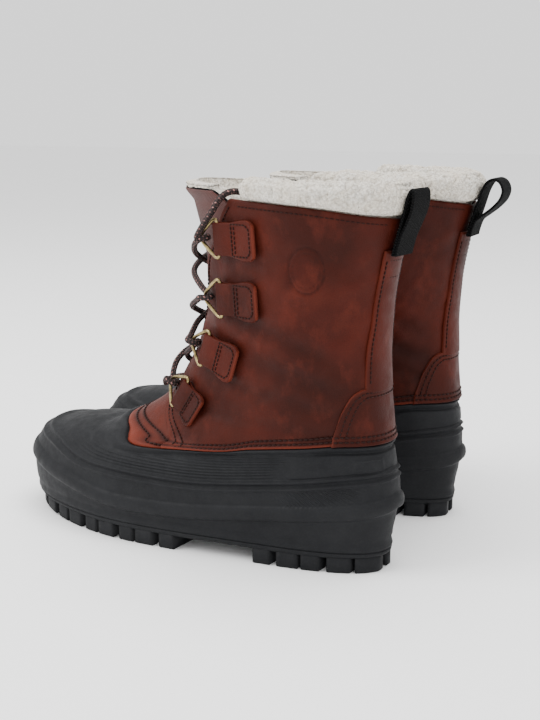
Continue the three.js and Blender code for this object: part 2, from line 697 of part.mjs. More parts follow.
// The lace goes down through every second ring, across the throat, and back up through the
// others. Both ends go over the rim beside the tongue and hang down inside the lining.
function laceRoute() {
  const turnRadius = RING_WIRE / 2 + LACE / 2 + LACE_EASE;
  const onLeather = LACE / 2 + LACE_EASE;
  const points = [];
  const pass = (row, side, reversed) => {
    const frame = ringFrame(LACING[row], side);
    const tip = barCentre(frame).addScaledVector(reaching(frame), RING_REACH);
    const turns = [90, 135, 180, 225, 270].map((degrees) => tip.clone()
      .addScaledVector(frame.forward, turnRadius * Math.cos(rad(degrees)))
      .addScaledVector(frame.out, turnRadius * Math.sin(rad(degrees))));
    points.push(...(reversed ? turns.toReversed() : turns));
  };
  const cross = (fromRow, toRow, side, lift) => {
    const from = LACING[fromRow];
    const to = LACING[toRow];
    const startAngle = side * (from.angle + 16);
    const endAngle = side * (360 - to.angle - 16);
    for (const t of [0.12, 0.34, 0.5, 0.66, 0.88]) {
      const angle = lerp(startAngle, endAngle, t);
      const z = lerp(from.z, to.z, t);
      const middle = Math.sin(Math.PI * t) ** 2;
      points.push(skin(angle, z, onLeather + 0.8 + 5 * t * t + middle * lift));
    }
  };
  const overRim = (side) => [
    skin(side * 119, 230, 10.5),
    skin(side * 113, 239, 7.5),
    skin(side * 109, RIM_FRONT, 3.5),
    skin(side * 106, RIM_FRONT + 4, -1),
    skin(side * 103, RIM_FRONT + 3.5, -8),
    skin(side * 100, RIM_FRONT - 1, -13.8),
    skin(side * 96, RIM_FRONT - 16, -14),
    skin(side * 92, 200, -14),
    skin(side * 90, 165, -14),
    skin(side * 90, 130, -14),
    skin(side * 90, 100, -17),
    skin(side * 90, 75, -22),
  ];
  const humped = LACE + 2 * LACE_EASE;
  points.push(...overRim(1).toReversed());
  pass(0, 1, false);
  cross(0, 1, 1, 0);
  pass(1, -1, false);
  cross(1, 2, -1, 0);
  pass(2, 1, false);
  cross(2, 3, 1, 0);
  pass(3, -1, false);
  cross(3, 3, -1, 0);
  pass(3, 1, false);
  cross(3, 2, 1, humped);
  pass(2, -1, false);
  cross(2, 1, -1, humped);
  pass(1, 1, false);
  cross(1, 0, 1, humped);
  pass(0, -1, true);
  points.push(...overRim(-1));
  return points;
}

function lace() {
  const points = laceRoute().map((p) => new THREE.Vector3(...placed(p)));
  const section = new THREE.Shape().absarc(0, 0, LACE / 2, 0, 2 * Math.PI);
  const route = new Route(points);
  return outwards(new THREE.ExtrudeGeometry(section, { steps: route.spans, extrudePath: route, curveSegments: 3 }));
}

// ---- materials ---------------------------------------------------------------------------------
const material = (color, roughness, metalness = 0) => new THREE.MeshStandardMaterial({ color, roughness, metalness });
const RUBBER = material(0x26272a, 0.6);
const OILED_LEATHER = material(0x5f2b22, 0.55);
const CLOTH = material(0x553029, 0.9);
const FLEECE = material(0xe4ded2, 1);
const FELT = material(0x9a948a, 1);
const WEBBING_BLACK = material(0x17171a, 0.8);
const BRASS = material(0xa08b5c, 0.4, 1);
const LACE_BROWN = material(0x2c201e, 0.85);

// ---- assembly ------------------------------------------------------------------------------------
function bootPieces() {
  const pieces = [
    ['outsole', outsole(), RUBBER],
    ['shell', shell(), RUBBER],
    ['footbed', footbed(), FELT],
    ['felt_lining', feltLining(), FELT],
    ['fleece_collar', fleeceCollar(), FLEECE],
    ['vamp', vamp(), OILED_LEATHER],
    ['quarter_outer', quarter(1), OILED_LEATHER],
    ['quarter_inner', quarter(-1), OILED_LEATHER],
    ['heel_counter', heelCounter(), OILED_LEATHER],
    ['backstay', backstay(), OILED_LEATHER],
    ['tongue', tongue(), CLOTH],
    ['tongue_lining', tongueLining(), FLEECE],
    ['pull_loop', pullLoop(), WEBBING_BLACK],
    ['lace', lace(), LACE_BROWN],
  ];
  for (const [side, word] of [[1, 'outer'], [-1, 'inner']]) {
    LACING.forEach((row, i) => {
      const frame = ringFrame(row, side);
      pieces.push([`tab_${word}_${i + 1}`, tab(frame), OILED_LEATHER]);
      pieces.push([`ring_${word}_${i + 1}`, ring(frame), BRASS]);
    });
  }
  return pieces.map(([name, geometry, look]) => [name, outwards(geometry), look]);
}

function boot(name, pieces, mirrored) {
  const group = new THREE.Group();
  for (const [piece, geometry, look] of pieces) {
    const shape = mirrored ? outwards(geometry.clone().scale(-1, 1, 1)) : geometry;
    const mesh = new THREE.Mesh(shape, look);
    mesh.name = `${name}_${piece}`;
    group.add(mesh);
  }
  const side = mirrored ? -1 : 1;
  group.position.x = (side * HEEL_SPACING) / 2;
  group.rotation.z = -side * TOE_IN;
  return group;
}

const pieces = bootPieces();
const pair = new THREE.Group();
pair.add(boot('left', pieces, false), boot('right', pieces, true));

// The origin is on the floor, in the middle of the pair's box.
const box = new THREE.Box3().setFromObject(pair, true);
pair.position.y = -(box.min.y + box.max.y) / 2;
pair.updateMatrixWorld(true);

export default pair;
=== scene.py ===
import json
import math

import bmesh
import bpy
import numpy as np
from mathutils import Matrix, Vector


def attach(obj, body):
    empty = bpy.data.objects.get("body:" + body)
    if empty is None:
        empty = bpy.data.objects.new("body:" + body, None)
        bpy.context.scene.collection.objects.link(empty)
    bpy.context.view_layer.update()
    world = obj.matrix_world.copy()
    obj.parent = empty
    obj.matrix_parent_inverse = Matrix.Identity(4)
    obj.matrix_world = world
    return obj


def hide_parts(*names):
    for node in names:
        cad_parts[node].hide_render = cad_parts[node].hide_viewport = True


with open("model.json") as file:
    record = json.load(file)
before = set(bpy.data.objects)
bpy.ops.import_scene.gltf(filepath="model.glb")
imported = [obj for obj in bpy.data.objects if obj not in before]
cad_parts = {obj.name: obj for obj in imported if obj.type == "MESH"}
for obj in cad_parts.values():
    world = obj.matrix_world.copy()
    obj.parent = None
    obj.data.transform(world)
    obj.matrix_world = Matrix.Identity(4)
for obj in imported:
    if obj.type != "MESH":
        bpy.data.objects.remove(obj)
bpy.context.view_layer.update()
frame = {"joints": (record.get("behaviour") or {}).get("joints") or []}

# ---- sizes, in millimetres, as the CAD model has them
FOOT_LENGTH = 313
BALL = 54.5
HEEL = 43
ANKLE_FRONT = 143
ANKLE = 38
LEG = 54
RIM_BACK = 236
RIM_FRONT = 247.5
COLLAR_BACK = 256
COLLAR_FRONT = 260
TONGUE_TOP = 252
VAMP_TOP = 104
COUNTER_TOP = 128
OUTSOLE_TOP = 14
TREAD_DEPTH = 6
TOE_SPRING_START = 236
TOE_SPRING_RADIUS = 470
SHELL_FLOOR = 4
RUBBER_WALL = 4
RIDGE_STEP = 1.6
FLANGE_WALL = 2
FLANGE_LAP = 11
LEATHER = 2.2
OVERLAY = 1.8
LINING = 6
FOOTBED = 10
TONGUE_LEAF = 2
GAP = 0.3
EASE = 0.9
LOOSE = 1.7
WEBBING_WIDTH = 24
WEBBING = 1.8
LOOP_FOOT = 214
TAB_LENGTH = 33
TAB_WIDTH = 22
TAB_LAYER = 1.7
TAB_LIFT = 1.5
RING_WIRE = 2.6
RING_REACH = 15
RING_PITCH = math.radians(6)
LACE = 4.4
LACE_EASE = 0.6
LACING = [(222, 113, 0), (182, 117, 0), (144, 127, 14), (109, 131, 30)]
TONGUE_HINGE = np.array([178.0, 0.0, 100.0])
MM = 0.001

# Sizes that only this model has.
LACE_SLIMMED = 0.08  # off the lace's radius, so that it clears the rings and tabs
WIRE_SLIMMED = 0.1  # off the ring wire's radius, for the same reason
TAPE_RADIUS = 1.05  # the tape round the tongue
CURL = 4.0  # a tuft of the fleece
STITCH_SINK = 0.05  # how far a stitch's thread is sunk
PRESSED_DEEP, PRESSED_WIDE = 0.4, 0.5  # the groove along a row of stitches
BUMP_STRENGTH = 1.45
FLOOR_HALF = 8.0  # metres


# ---- curves through a few stations
def through(stations):
    """A smooth curve through the stations that never overshoots them."""
    x, y = (np.array(c, float) for c in zip(*stations))
    slope = np.diff(y) / np.diff(x)
    tangent = np.concatenate([slope[:1], np.zeros(len(x) - 2), slope[-1:]])
    for i in range(1, len(x) - 1):
        if slope[i - 1] * slope[i] > 0:
            tangent[i] = 2 / (1 / slope[i - 1] + 1 / slope[i])

    def curve(at):
        q = np.clip(at, x[0], x[-1])
        i = np.clip(np.searchsorted(x, q) - 1, 0, len(x) - 2)
        h = x[i + 1] - x[i]
        t = (q - x[i]) / h
        a = y[i] * (1 + 2 * t) * (1 - t) ** 2 + tangent[i] * h * t * (1 - t) ** 2
        return a + y[i + 1] * t * t * (3 - 2 * t) + tangent[i + 1] * h * t * t * (t - 1)

    return curve


def lerp(a, b, t):
    """The value a share t of the way from a to b."""
    return a + (b - a) * t


def smoothstep(value, low, high):
    """0 up to low and 1 from high on, with a smooth rise between."""
    t = np.clip((value - low) / (high - low), 0, 1)
    return t * t * (3 - 2 * t)


def hump(distance, width):
    """1 on a line, falling away to 0 on both sides of it."""
    return np.exp(-((distance / width) ** 2))


# Level outlines of the outside: height, heel end, toe end, half widths near the heel (outer,
# inner side), half widths near the toe (outer, inner side), bend of both ends.
OUTLINES = [
    (0, 4, FOOT_LENGTH - 9, HEEL - 3, HEEL - 5, BALL - 0.5, BALL - 4.5, 7),
    (12, 3, FOOT_LENGTH - 5, HEEL - 2, HEEL - 4, BALL + 1.5, BALL - 3.5, 7),
    (26, 2, FOOT_LENGTH - 1, HEEL - 1, HEEL - 3, BALL + 2.5, BALL - 2.5, 7),
    (36, 0, FOOT_LENGTH, HEEL, HEEL - 2, BALL + 2.5, BALL - 2.5, 7),
    (48, -1, FOOT_LENGTH - 3, HEEL + 1, HEEL - 1, BALL + 0.5, BALL - 4.5, 7),
    (58, 0, FOOT_LENGTH - 8, HEEL, HEEL - 1, BALL - 2, BALL - 7, 7),
    (66, 1, FOOT_LENGTH - 18, HEEL, HEEL - 2, BALL - 5.5, BALL - 10.5, 6),
    (73, 2, FOOT_LENGTH - 42, HEEL - 1, HEEL - 2, ANKLE + 7, ANKLE + 2, 5),
    (79, 3, ANKLE_FRONT + 86, HEEL - 1, HEEL - 3, ANKLE + 5, ANKLE + 1, 4),
    (89, 5, ANKLE_FRONT + 60, ANKLE + 3, ANKLE + 2, ANKLE + 2, ANKLE, 3),
    (106, 7, ANKLE_FRONT + 35, ANKLE + 2, ANKLE + 1, ANKLE, ANKLE - 1, 2),
    (126, 9, ANKLE_FRONT + 20, ANKLE + 2, ANKLE + 1, ANKLE, ANKLE - 1, 1),
    (150, 10, ANKLE_FRONT + 6, ANKLE + 4, ANKLE + 3, ANKLE, ANKLE, 0),
    (180, 8.5, ANKLE_FRONT, LEG - 8, LEG - 8, LEG - 13.5, LEG - 13.5, 0),
    (210, 3.5, ANKLE_FRONT + 5, LEG - 4, LEG - 4, LEG - 11, LEG - 11, 0),
    (240, -4, ANKLE_FRONT + 13, LEG, LEG, LEG - 9, LEG - 9, 0),
    (266, -9, ANKLE_FRONT + 21, LEG + 2, LEG + 2, LEG - 8, LEG - 8, 0),
]
heel_end, toe_end, rear_outer, rear_inner, front_outer, front_inner, swing = (
    through([(row[0], row[k]) for row in OUTLINES]) for k in range(1, 8)
)


def signed(angle):
    """The same angle between -180 and 180, 0 being the middle of the heel."""
    return (np.asarray(angle, float) + 540) % 360 - 180


def around(stations):
    """A line round the boot: height against the angle from the middle of the heel."""
    line = through(stations)
    return lambda angle: line(np.abs(signed(angle)))


hem = around([(0, 90), (38, 90.5), (61, 87), (80, 82), (90, 75), (104, 71), (118, 75), (138, 79), (180, 85)])
lower_ridge = around([(0, 45), (33, 40), (60, 35), (95, 26), (120, 34), (150, 42), (180, 44)])
upper_ridge = around([(0, 66), (33, 63), (60, 56), (90, 48), (107, 49), (135, 58), (180, 63)])
rim = around([(0, RIM_BACK), (31, RIM_BACK + 3), (67, RIM_FRONT - 3), (106, RIM_FRONT)])
collar = around([(0, COLLAR_BACK), (50, COLLAR_BACK + 2), (100, COLLAR_FRONT)])
counter = around(
    [(0, COUNTER_TOP), (22, COUNTER_TOP), (31, COUNTER_TOP - 3), (41, COUNTER_TOP - 16),
     (46, COUNTER_TOP - 34)]
)
facing = through(
    [(VAMP_TOP, 150), (VAMP_TOP + 8, 155), (150, 156), (180, 149), (204, 136), (220, 123),
     (RIM_FRONT - 10, 113), (RIM_FRONT, 106)]
)
tongue_edge = through(
    [(VAMP_TOP, 147), (150, 149), (180, 142), (204, 129), (220, 117), (RIM_FRONT - 10, 107.5),
     (RIM_FRONT - 2, 110), (TONGUE_TOP, 117)]
)
strip_edge = through([(COUNTER_TOP, 22), (154, 19), (170, 16), (196, 14), (RIM_BACK, 13)])
COLLAR_END = 97
SEAM = 0.6


def vamp_edge(z):
    """The angle where the vamp ends and a quarter starts, at a height."""
    return 97 + 1.66 * (z - 72)


# ---- the outside of a boot
def power(value, exponent):
    return np.sign(value) * np.abs(value) ** exponent


def outline(angle, z):
    """Points on the outside at those angles and heights, in the boot's own frame: u forward
    from the heel, v out to the little-toe side, z up."""
    angle, z = np.broadcast_arrays(np.asarray(angle, float), np.asarray(z, float))
    c, s = np.cos(np.radians(angle)), np.sin(np.radians(angle))
    rear = lerp(2.4, 2.05, smoothstep(z, 106, 240))
    front = lerp(2.6, 2.1, smoothstep(z, 50, 79))
    square = np.where(c > 0, rear, front)
    along = -power(c, 2 / square)
    side = power(s, 2 / square)
    blend = smoothstep(along, -0.55, 0.45)
    outer = lerp(rear_outer(z), front_outer(z), blend)
    inner = lerp(rear_inner(z), front_inner(z), blend)
    u = lerp(heel_end(z), toe_end(z), (along + 1) / 2)
    v = swing(z) * (0.35 - along * along) + side * np.where(s >= 0, outer, inner)
    return np.stack([u, v, z], -1)


def unit(vectors):
    return vectors / np.linalg.norm(vectors, axis=-1, keepdims=True)


def normal(angle, z):
    """The outward directions of the outside."""
    tiny = 0.02
    angle, z = np.asarray(angle, float), np.asarray(z, float)
    across = outline(angle + 1, z) - outline(angle - 1, z)
    up = outline(angle, z + tiny) - outline(angle, z - tiny)
    return unit(np.cross(up, across))


def skin(angle, z, depth):
    """Points off the outside by depth, which is negative inwards."""
    return outline(angle, z) + normal(angle, z) * np.asarray(depth, float)[..., None]


# ---- noise, the same on every run
def lattice(cells, seed):
    """A number from 0 to 1 for each whole cell."""
    x, y, z = (cells[..., k].astype(np.int64) for k in range(3))
    h = (x * 374761393 + y * 668265263 + z * 1274126177 + seed * 974711) & 0xFFFFFFFF
    h = ((h ^ (h >> 13)) * 1274126177) & 0xFFFFFFFF
    return ((h ^ (h >> 16)) & 0xFFFF) / 65535


def noise(points, size, seed=0):
    """Smooth noise from -1 to 1 with bumps of about that size."""
    q = np.asarray(points, float) / size
    base = np.floor(q)
    f = q - base
    f = f * f * (3 - 2 * f)
    total = 0
    for dx in (0, 1):
        for dy in (0, 1):
            for dz in (0, 1):
                weight = (
                    (f[..., 0] if dx else 1 - f[..., 0])
                    * (f[..., 1] if dy else 1 - f[..., 1])
                    * (f[..., 2] if dz else 1 - f[..., 2])
                )
                total = total + weight * lattice(base + (dx, dy, dz), seed)
    return 2 * total - 1


def nubs(points, size, seed=0):
    """Round tufts packed side by side: 1 at the middle of each and 0 between them."""
    q = np.asarray(points, float) / size
    base = np.floor(q)
    nearest = np.full(q.shape[:-1], 9.0)
    for dx in (-1, 0, 1):
        for dy in (-1, 0, 1):
            for dz in (-1, 0, 1):
                cell = base + (dx, dy, dz)
                jitter = np.stack([lattice(cell, seed + k) for k in (1, 2, 3)], -1)
                nearest = np.minimum(nearest, ((q - cell - jitter) ** 2).sum(-1))
    return np.sqrt(np.clip(1 - nearest / 0.75, 0, 1))


# ---- meshes
class Solid:
    """Points in the boot's own frame, faces, texture places and a shade for each point."""

    def __init__(self, points, faces, uv=None, shade=None):
        self.points = np.asarray(points, float).reshape(-1, 3)
        self.faces = [tuple(int(i) for i in f) for f in faces]
        count = len(self.points)
        self.uv = np.zeros((count, 2)) if uv is None else np.asarray(uv, float).reshape(-1, 2)
        self.shade = np.zeros(count) if shade is None else np.asarray(shade, float).ravel()


def joined(solids):
    """Many solids as one."""
    points, faces, uv, shade, shift = [], [], [], [], 0
    for s in solids:
        points.append(s.points)
        uv.append(s.uv)
        shade.append(s.shade)
        faces += [tuple(i + shift for i in f) for f in s.faces]
        shift += len(s.points)
    return Solid(np.vstack(points), faces, np.vstack(uv), np.concatenate(shade))


def quads(rows, columns, wrap_rows=False, wrap_columns=False):
    """Faces of a grid of points, row after row."""
    last_row = rows if wrap_rows else rows - 1
    last_column = columns if wrap_columns else columns - 1
    i, j = np.meshgrid(np.arange(last_row), np.arange(last_column), indexing="ij")
    a, b = i * columns, ((i + 1) % rows) * columns
    k = (j + 1) % columns
    return np.stack([a + j, b + j, b + k, a + k], -1).reshape(-1, 4)


def slab(outer, inner, uv=None, shade=None):
    """A closed sheet between two grids of points of the same shape."""
    m, n = outer.shape[:2]
    size = m * n
    faces = [quads(m, n), quads(m, n)[:, ::-1] + size]
    i, j = np.arange(m - 1), np.arange(n - 1)
    edges = [(i * n + k, (i + 1) * n + k) for k in (0, n - 1)]
    edges += [(r * n + j, r * n + j + 1) for r in (0, m - 1)]
    faces += [np.stack([a, b, b + size, a + size], -1) for a, b in edges]

    def twice(values, width):
        return None if values is None else np.concatenate([values.reshape(size, width)] * 2)

    points = np.concatenate([outer.reshape(size, 3), inner.reshape(size, 3)])
    return Solid(points, np.concatenate(faces), twice(uv, 2), twice(shade, 1))


def rolls(count):
    """How full a sheet's thickness is at each of its samples: its edges are rounded."""
    full = np.ones(count)
    full[[0, -1]] = 0.2
    full[[1, -2]] = 0.8
    return full


def rounded(rows, columns):
    """The same for a grid of samples, with all four edges rounded."""
    return np.minimum(rolls(rows)[:, None], rolls(columns)[None, :])


def shares(count, edge):
    """Shares from 0 to 1, with two more samples close to each end for a rounded edge."""
    middle = np.linspace(0, 1, count + 1)[1:-1]
    return np.concatenate([[0, edge * 0.35, edge], middle, [1 - edge, 1 - edge * 0.35, 1]])


def stack(loops, shade=None):
    """Rings of points, one after another, filled at both ends by rungs across the boot."""
    loops = np.asarray(loops)
    m, n = loops.shape[:2]
    faces = [tuple(q) for q in quads(m, n, wrap_columns=True)]
    half = n // 2
    for base in (0, (m - 1) * n):
        for i in range(half):
            a, b = base + i, base + i + 1
            c, d = base + (n - i - 1) % n, base + (n - i) % n
            faces.append(tuple(dict.fromkeys((a, b, c, d))))
    return Solid(loops.reshape(-1, 3), faces, shade=shade)


def smooth_path(points, step, closed=False):
    """A curve through the points, with a sample about every step."""
    p = np.asarray(points, float)
    n = len(p)
    out = []
    for i in range(n if closed else n - 1):
        if closed:
            a, b, c, d = p[i - 1], p[i], p[(i + 1) % n], p[(i + 2) % n]
        else:
            a, b, c, d = p[max(i - 1, 0)], p[i], p[i + 1], p[min(i + 2, n - 1)]
        count = max(2, int(round(np.linalg.norm(c - b) / step)))
        # Centripetal knots keep a tight bend from looping.
        t0, t1 = 0.0, max(np.linalg.norm(b - a), 1e-6) ** 0.5
        t2 = t1 + np.linalg.norm(c - b) ** 0.5
        t3 = t2 + max(np.linalg.norm(d - c), 1e-6) ** 0.5
        t = np.linspace(t1, t2, count, endpoint=False)[:, None]
        a1 = (t1 - t) / (t1 - t0) * a + (t - t0) / (t1 - t0) * b if t1 > 1e-2 else b + 0 * t
        a2 = (t2 - t) / (t2 - t1) * b + (t - t1) / (t2 - t1) * c
        a3 = (t3 - t) / (t3 - t2) * c + (t - t2) / (t3 - t2) * d if t3 - t2 > 1e-2 else c + 0 * t
        b1 = (t2 - t) / (t2 - t0) * a1 + (t - t0) / (t2 - t0) * a2
        b2 = (t3 - t) / (t3 - t1) * a2 + (t - t1) / (t3 - t1) * a3
        out.append((t2 - t) / (t2 - t1) * b1 + (t - t1) / (t2 - t1) * b2)
    if not closed:
        out.append(p[-1:])
    return np.concatenate(out)


def run_of(path):
    """How far along a path each of its points lies."""
    return np.concatenate([[0], np.cumsum(np.linalg.norm(np.diff(path, axis=0), axis=1))])


def tube(path, radius, sides, closed=False, up=None):
    """A round tube along a path, with texture places in millimetres along it."""
    path = np.asarray(path, float)
    n = len(path)
    ahead = np.roll(path, -1, 0) - np.roll(path, 1, 0)
    if not closed:
        ahead[0] = path[1] - path[0]
        ahead[-1] = path[-1] - path[-2]
    ahead = unit(ahead)
    side = np.zeros_like(path)
    start = np.cross(ahead[0], up if up is not None else (0, 0, 1))
    if np.linalg.norm(start) < 1e-3:
        start = np.cross(ahead[0], (1, 0, 0))
    side[0] = unit(start)
    for i in range(1, n):
        carried = side[i - 1] - ahead[i] * side[i - 1].dot(ahead[i])
        side[i] = unit(carried)
    if up is not None:
        side = unit(np.cross(ahead, np.broadcast_to(up, path.shape)))
    other = np.cross(side, ahead)
    radius = np.broadcast_to(np.asarray(radius, float), (n,))
    turn = np.linspace(0, 2 * np.pi, sides, endpoint=False)
    ring = side[:, None] * np.cos(turn)[None, :, None] + other[:, None] * np.sin(turn)[None, :, None]
    points = path[:, None] + ring * radius[:, None, None]
    uv = np.stack(np.broadcast_arrays(run_of(path)[:, None], (turn / (2 * np.pi))[None]), -1)
    faces = [tuple(q) for q in quads(n, sides, wrap_rows=closed, wrap_columns=True)]
    if not closed:
        faces += [tuple(range(sides)), tuple(range((n - 1) * sides, n * sides))]
    return Solid(points, faces, uv)


def stitches(path, out, pitch, thread):
    """A row of stitches along a path on a face whose outward directions are out."""
    path, out = np.asarray(path, float), np.asarray(out, float)
    along = run_of(path)
    count = int(along[-1] / pitch)
    made = []
    for i in range(count):
        middle = (i + 0.5) * along[-1] / count
        spots = middle + np.array([-0.36, -0.3, -0.12, 0.12, 0.3, 0.36]) * pitch
        p = np.stack([np.interp(spots, along, path[:, k]) for k in range(3)], -1)
        n = unit(np.stack([np.interp(spots, along, out[:, k]) for k in range(3)], -1))
        rise = np.array([-0.5, 0.1, 0.45, 0.45, 0.1, -0.5]) * thread - STITCH_SINK
        made.append(tube(p + n * rise[:, None], np.array([0.5, 0.9, 1, 1, 0.9, 0.5]) * thread, 6))
    return joined(made)


# ---- boots in the row frame
JOINTS = {j["name"]: j for j in frame["joints"]}


def boot_place(name):
    """The origin and the three directions of a boot's own frame, in metres, from the joint
    that its tongue leans on: its axis lies across the boot."""
    joint = JOINTS[name + "_tongue_lean"]
    axis = unit(np.array(joint["axis"], float))
    if name == "left":
        across = -axis
        forward = np.array([across[1], -across[0], 0])
    else:
        across = axis
        forward = np.array([-across[1], across[0], 0])
    up = np.array([0, 0, 1.0])
    turned = np.stack([forward, across, up])
    origin = np.array(joint["pos_m"]) - (TONGUE_HINGE * MM) @ turned
    return origin, turned


BOOTS = {name: boot_place(name) for name in ("left", "right")}


def to_row(boot, points):
    origin, turned = BOOTS[boot]
    return origin + (np.asarray(points, float) * MM) @ turned


def make(boot, name, solid, material, body, nodes=()):
    """One piece from a solid of the boot's own frame, riding on a CAD body."""
    mesh = bpy.data.meshes.new(f"{boot}_{name}")
    mesh.from_pydata(to_row(boot, solid.points).tolist(), [], solid.faces)
    layer = mesh.uv_layers.new(name="UVMap")
    corners = np.empty(len(mesh.loops), np.int32)
    mesh.loops.foreach_get("vertex_index", corners)
    layer.data.foreach_set("uv", solid.uv[corners].astype(np.float32).ravel())
    shade = mesh.attributes.new("shade", "FLOAT", "POINT")
    shade.data.foreach_set("value", solid.shade.astype(np.float32))
    work = bmesh.new()
    work.from_mesh(mesh)
    bmesh.ops.recalc_face_normals(work, faces=work.faces)
    work.to_mesh(mesh)
    work.free()
    mesh.polygons.foreach_set("use_smooth", np.ones(len(mesh.polygons), bool))
    mesh.materials.append(material)
    piece = bpy.data.objects.new(f"{boot}_{name}", mesh)
    bpy.context.scene.collection.objects.link(piece)
    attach(piece, f"{boot}_{body}")
    if nodes:
        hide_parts(*[f"{boot}_{n}" for n in nodes])
    return piece


def make_pair(name, solid, material, body="boot", nodes=()):
    return [make(boot, name, solid, material, body, nodes) for boot in BOOTS]


# ---- materials
class Look:
    """A material and short calls for its nodes. Texture sizes are in millimetres."""

    def __init__(self, name, roughness, metallic=0.0, **constant):
        self.material = bpy.data.materials.new(name)
        self.material.use_nodes = True
        self.tree = self.material.node_tree
        self.shader = self.tree.nodes["Principled BSDF"]
        self.shader.inputs["Roughness"].default_value = roughness
        self.shader.inputs["Metallic"].default_value = metallic
        for key, value in constant.items():
            self.shader.inputs[key.replace("_", " ")].default_value = value
        self.place = self.node("ShaderNodeNewGeometry").outputs["Position"]
        self.uv = None

    def node(self, kind, **settings):
        made = self.tree.nodes.new(kind)
        for key, value in settings.items():
            setattr(made, key, value)
        return made

    def link(self, a, b):
        self.tree.links.new(a, b)

    def set(self, socket, value):
        if isinstance(value, bpy.types.NodeSocket):
            self.link(value, socket)
        else:
            socket.default_value = value

    def along_uv(self):
        """The texture places of the mesh."""
        if self.uv is None:
            self.uv = self.node("ShaderNodeUVMap", uv_map="UVMap").outputs["UV"]
        return self.uv

    def uv_parts(self):
        parts = self.node("ShaderNodeSeparateXYZ")
        self.link(self.along_uv(), parts.inputs[0])
        return parts.outputs["X"], parts.outputs["Y"]

    def scaled(self, vector, scale):
        """A place stretched by three numbers."""
        made = self.node("ShaderNodeVectorMath", operation="MULTIPLY")
        self.link(vector, made.inputs[0])
        made.inputs[1].default_value = scale
        return made.outputs[0]

    def fuzz(self, size, detail=3.0, rough=0.55, vector=None):
        made = self.node("ShaderNodeTexNoise")
        self.link(vector or self.place, made.inputs["Vector"])
        made.inputs["Scale"].default_value = 1 / (size * MM) if vector is None else 1 / size
        made.inputs["Detail"].default_value = detail
        made.inputs["Roughness"].default_value = rough
        return made.outputs["Fac"]

    def cells(self, size):
        made = self.node("ShaderNodeTexVoronoi")
        self.link(self.place, made.inputs["Vector"])
        made.inputs["Scale"].default_value = 1 / (size * MM)
        return made.outputs["Distance"]

    def ribs(self, vector, scale):
        """Diagonal ribs; the caller takes their Fac."""
        made = self.node("ShaderNodeTexWave", bands_direction="DIAGONAL")
        self.link(vector, made.inputs["Vector"])
        made.inputs["Scale"].default_value = scale
        return made

    def math(self, operation, a, b=0.0):
        made = self.node("ShaderNodeMath", operation=operation)
        self.set(made.inputs[0], a)
        self.set(made.inputs[1], b)
        return made.outputs[0]

    def range(self, value, low, high, to_low=0.0, to_high=1.0):
        made = self.node("ShaderNodeMapRange")
        self.link(value, made.inputs["Value"])
        ends = {"From Min": low, "From Max": high, "To Min": to_low, "To Max": to_high}
        for key, number in ends.items():
            made.inputs[key].default_value = number
        return made.outputs["Result"]

    def mix(self, factor, a, b):
        made = self.node("ShaderNodeMix", data_type="RGBA")
        self.set(made.inputs["Factor"], factor)
        for key, value in (("A", a), ("B", b)):
            socket = next(s for s in made.inputs if s.name == key and s.type == "RGBA")
            self.set(socket, value if isinstance(value, bpy.types.NodeSocket) else (*value, 1))
        return next(s for s in made.outputs if s.type == "RGBA")

    def shade(self):
        return self.node("ShaderNodeAttribute", attribute_name="shade").outputs["Fac"]

    def color(self, value):
        socket = self.shader.inputs["Base Color"]
        self.set(socket, value if isinstance(value, bpy.types.NodeSocket) else (*value, 1))

    def rough(self, value):
        self.link(value, self.shader.inputs["Roughness"])

    def bump(self, *layers):
        """Layers of (height from 0 to 1, depth in millimetres)."""
        last = None
        for height, depth in layers:
            made = self.node("ShaderNodeBump")
            made.inputs["Strength"].default_value = BUMP_STRENGTH
            made.inputs["Distance"].default_value = depth * MM
            self.link(height, made.inputs["Height"])
            if last is not None:
                self.link(last, made.inputs["Normal"])
            last = made.outputs["Normal"]
        self.link(last, self.shader.inputs["Normal"])


def leather_look(name, dark, middle, light):
    """Oiled leather: blotches where the oil has moved, fine grain, pale cut edges, painted shade in creases
    and stitch grooves, and painted light over the vamp.
    """
    look = Look(name, 0.5, Specular_IOR_Level=0.09)
    base = look.mix(look.range(look.fuzz(60, 3.0, 0.5), 0.38, 0.64), dark, middle)
    rubbed = look.fuzz(16, 5.0, 0.6, look.scaled(look.place, (1000, 1000, 700)))
    base = look.mix(look.range(rubbed, 0.54, 0.8, 0, 0.4), base, light)
    pores = look.cells(0.8)
    base = look.mix(look.range(pores, 0.1, 0.5, 0.22, 0.0), base, tuple(c * 0.5 for c in dark))
    # The positive shade lightens pale cut edges and raised leather, and is painted light over the vamp.
    base = look.mix(look.math("MAXIMUM", look.shade(), 0.0), base, light)
    # Painted shade: the negative shade darkens creases, hollows and stitch grooves nearly to black.
    painted_hollow_shade = look.math("MAXIMUM", look.math("MULTIPLY", look.shade(), -1.0), 0.0)
    look.color(look.mix(painted_hollow_shade, base, (0.010, 0.004, 0.003)))
    look.rough(look.range(look.fuzz(9, 4.0), 0.3, 0.75, 0.42, 0.6))
    grain = look.range(pores, 0.0, 0.6)
    look.bump((look.fuzz(8, 3.0, 0.5), 0.3), (grain, 0.07), (look.fuzz(0.6, 2.0), 0.04))
    return look.material


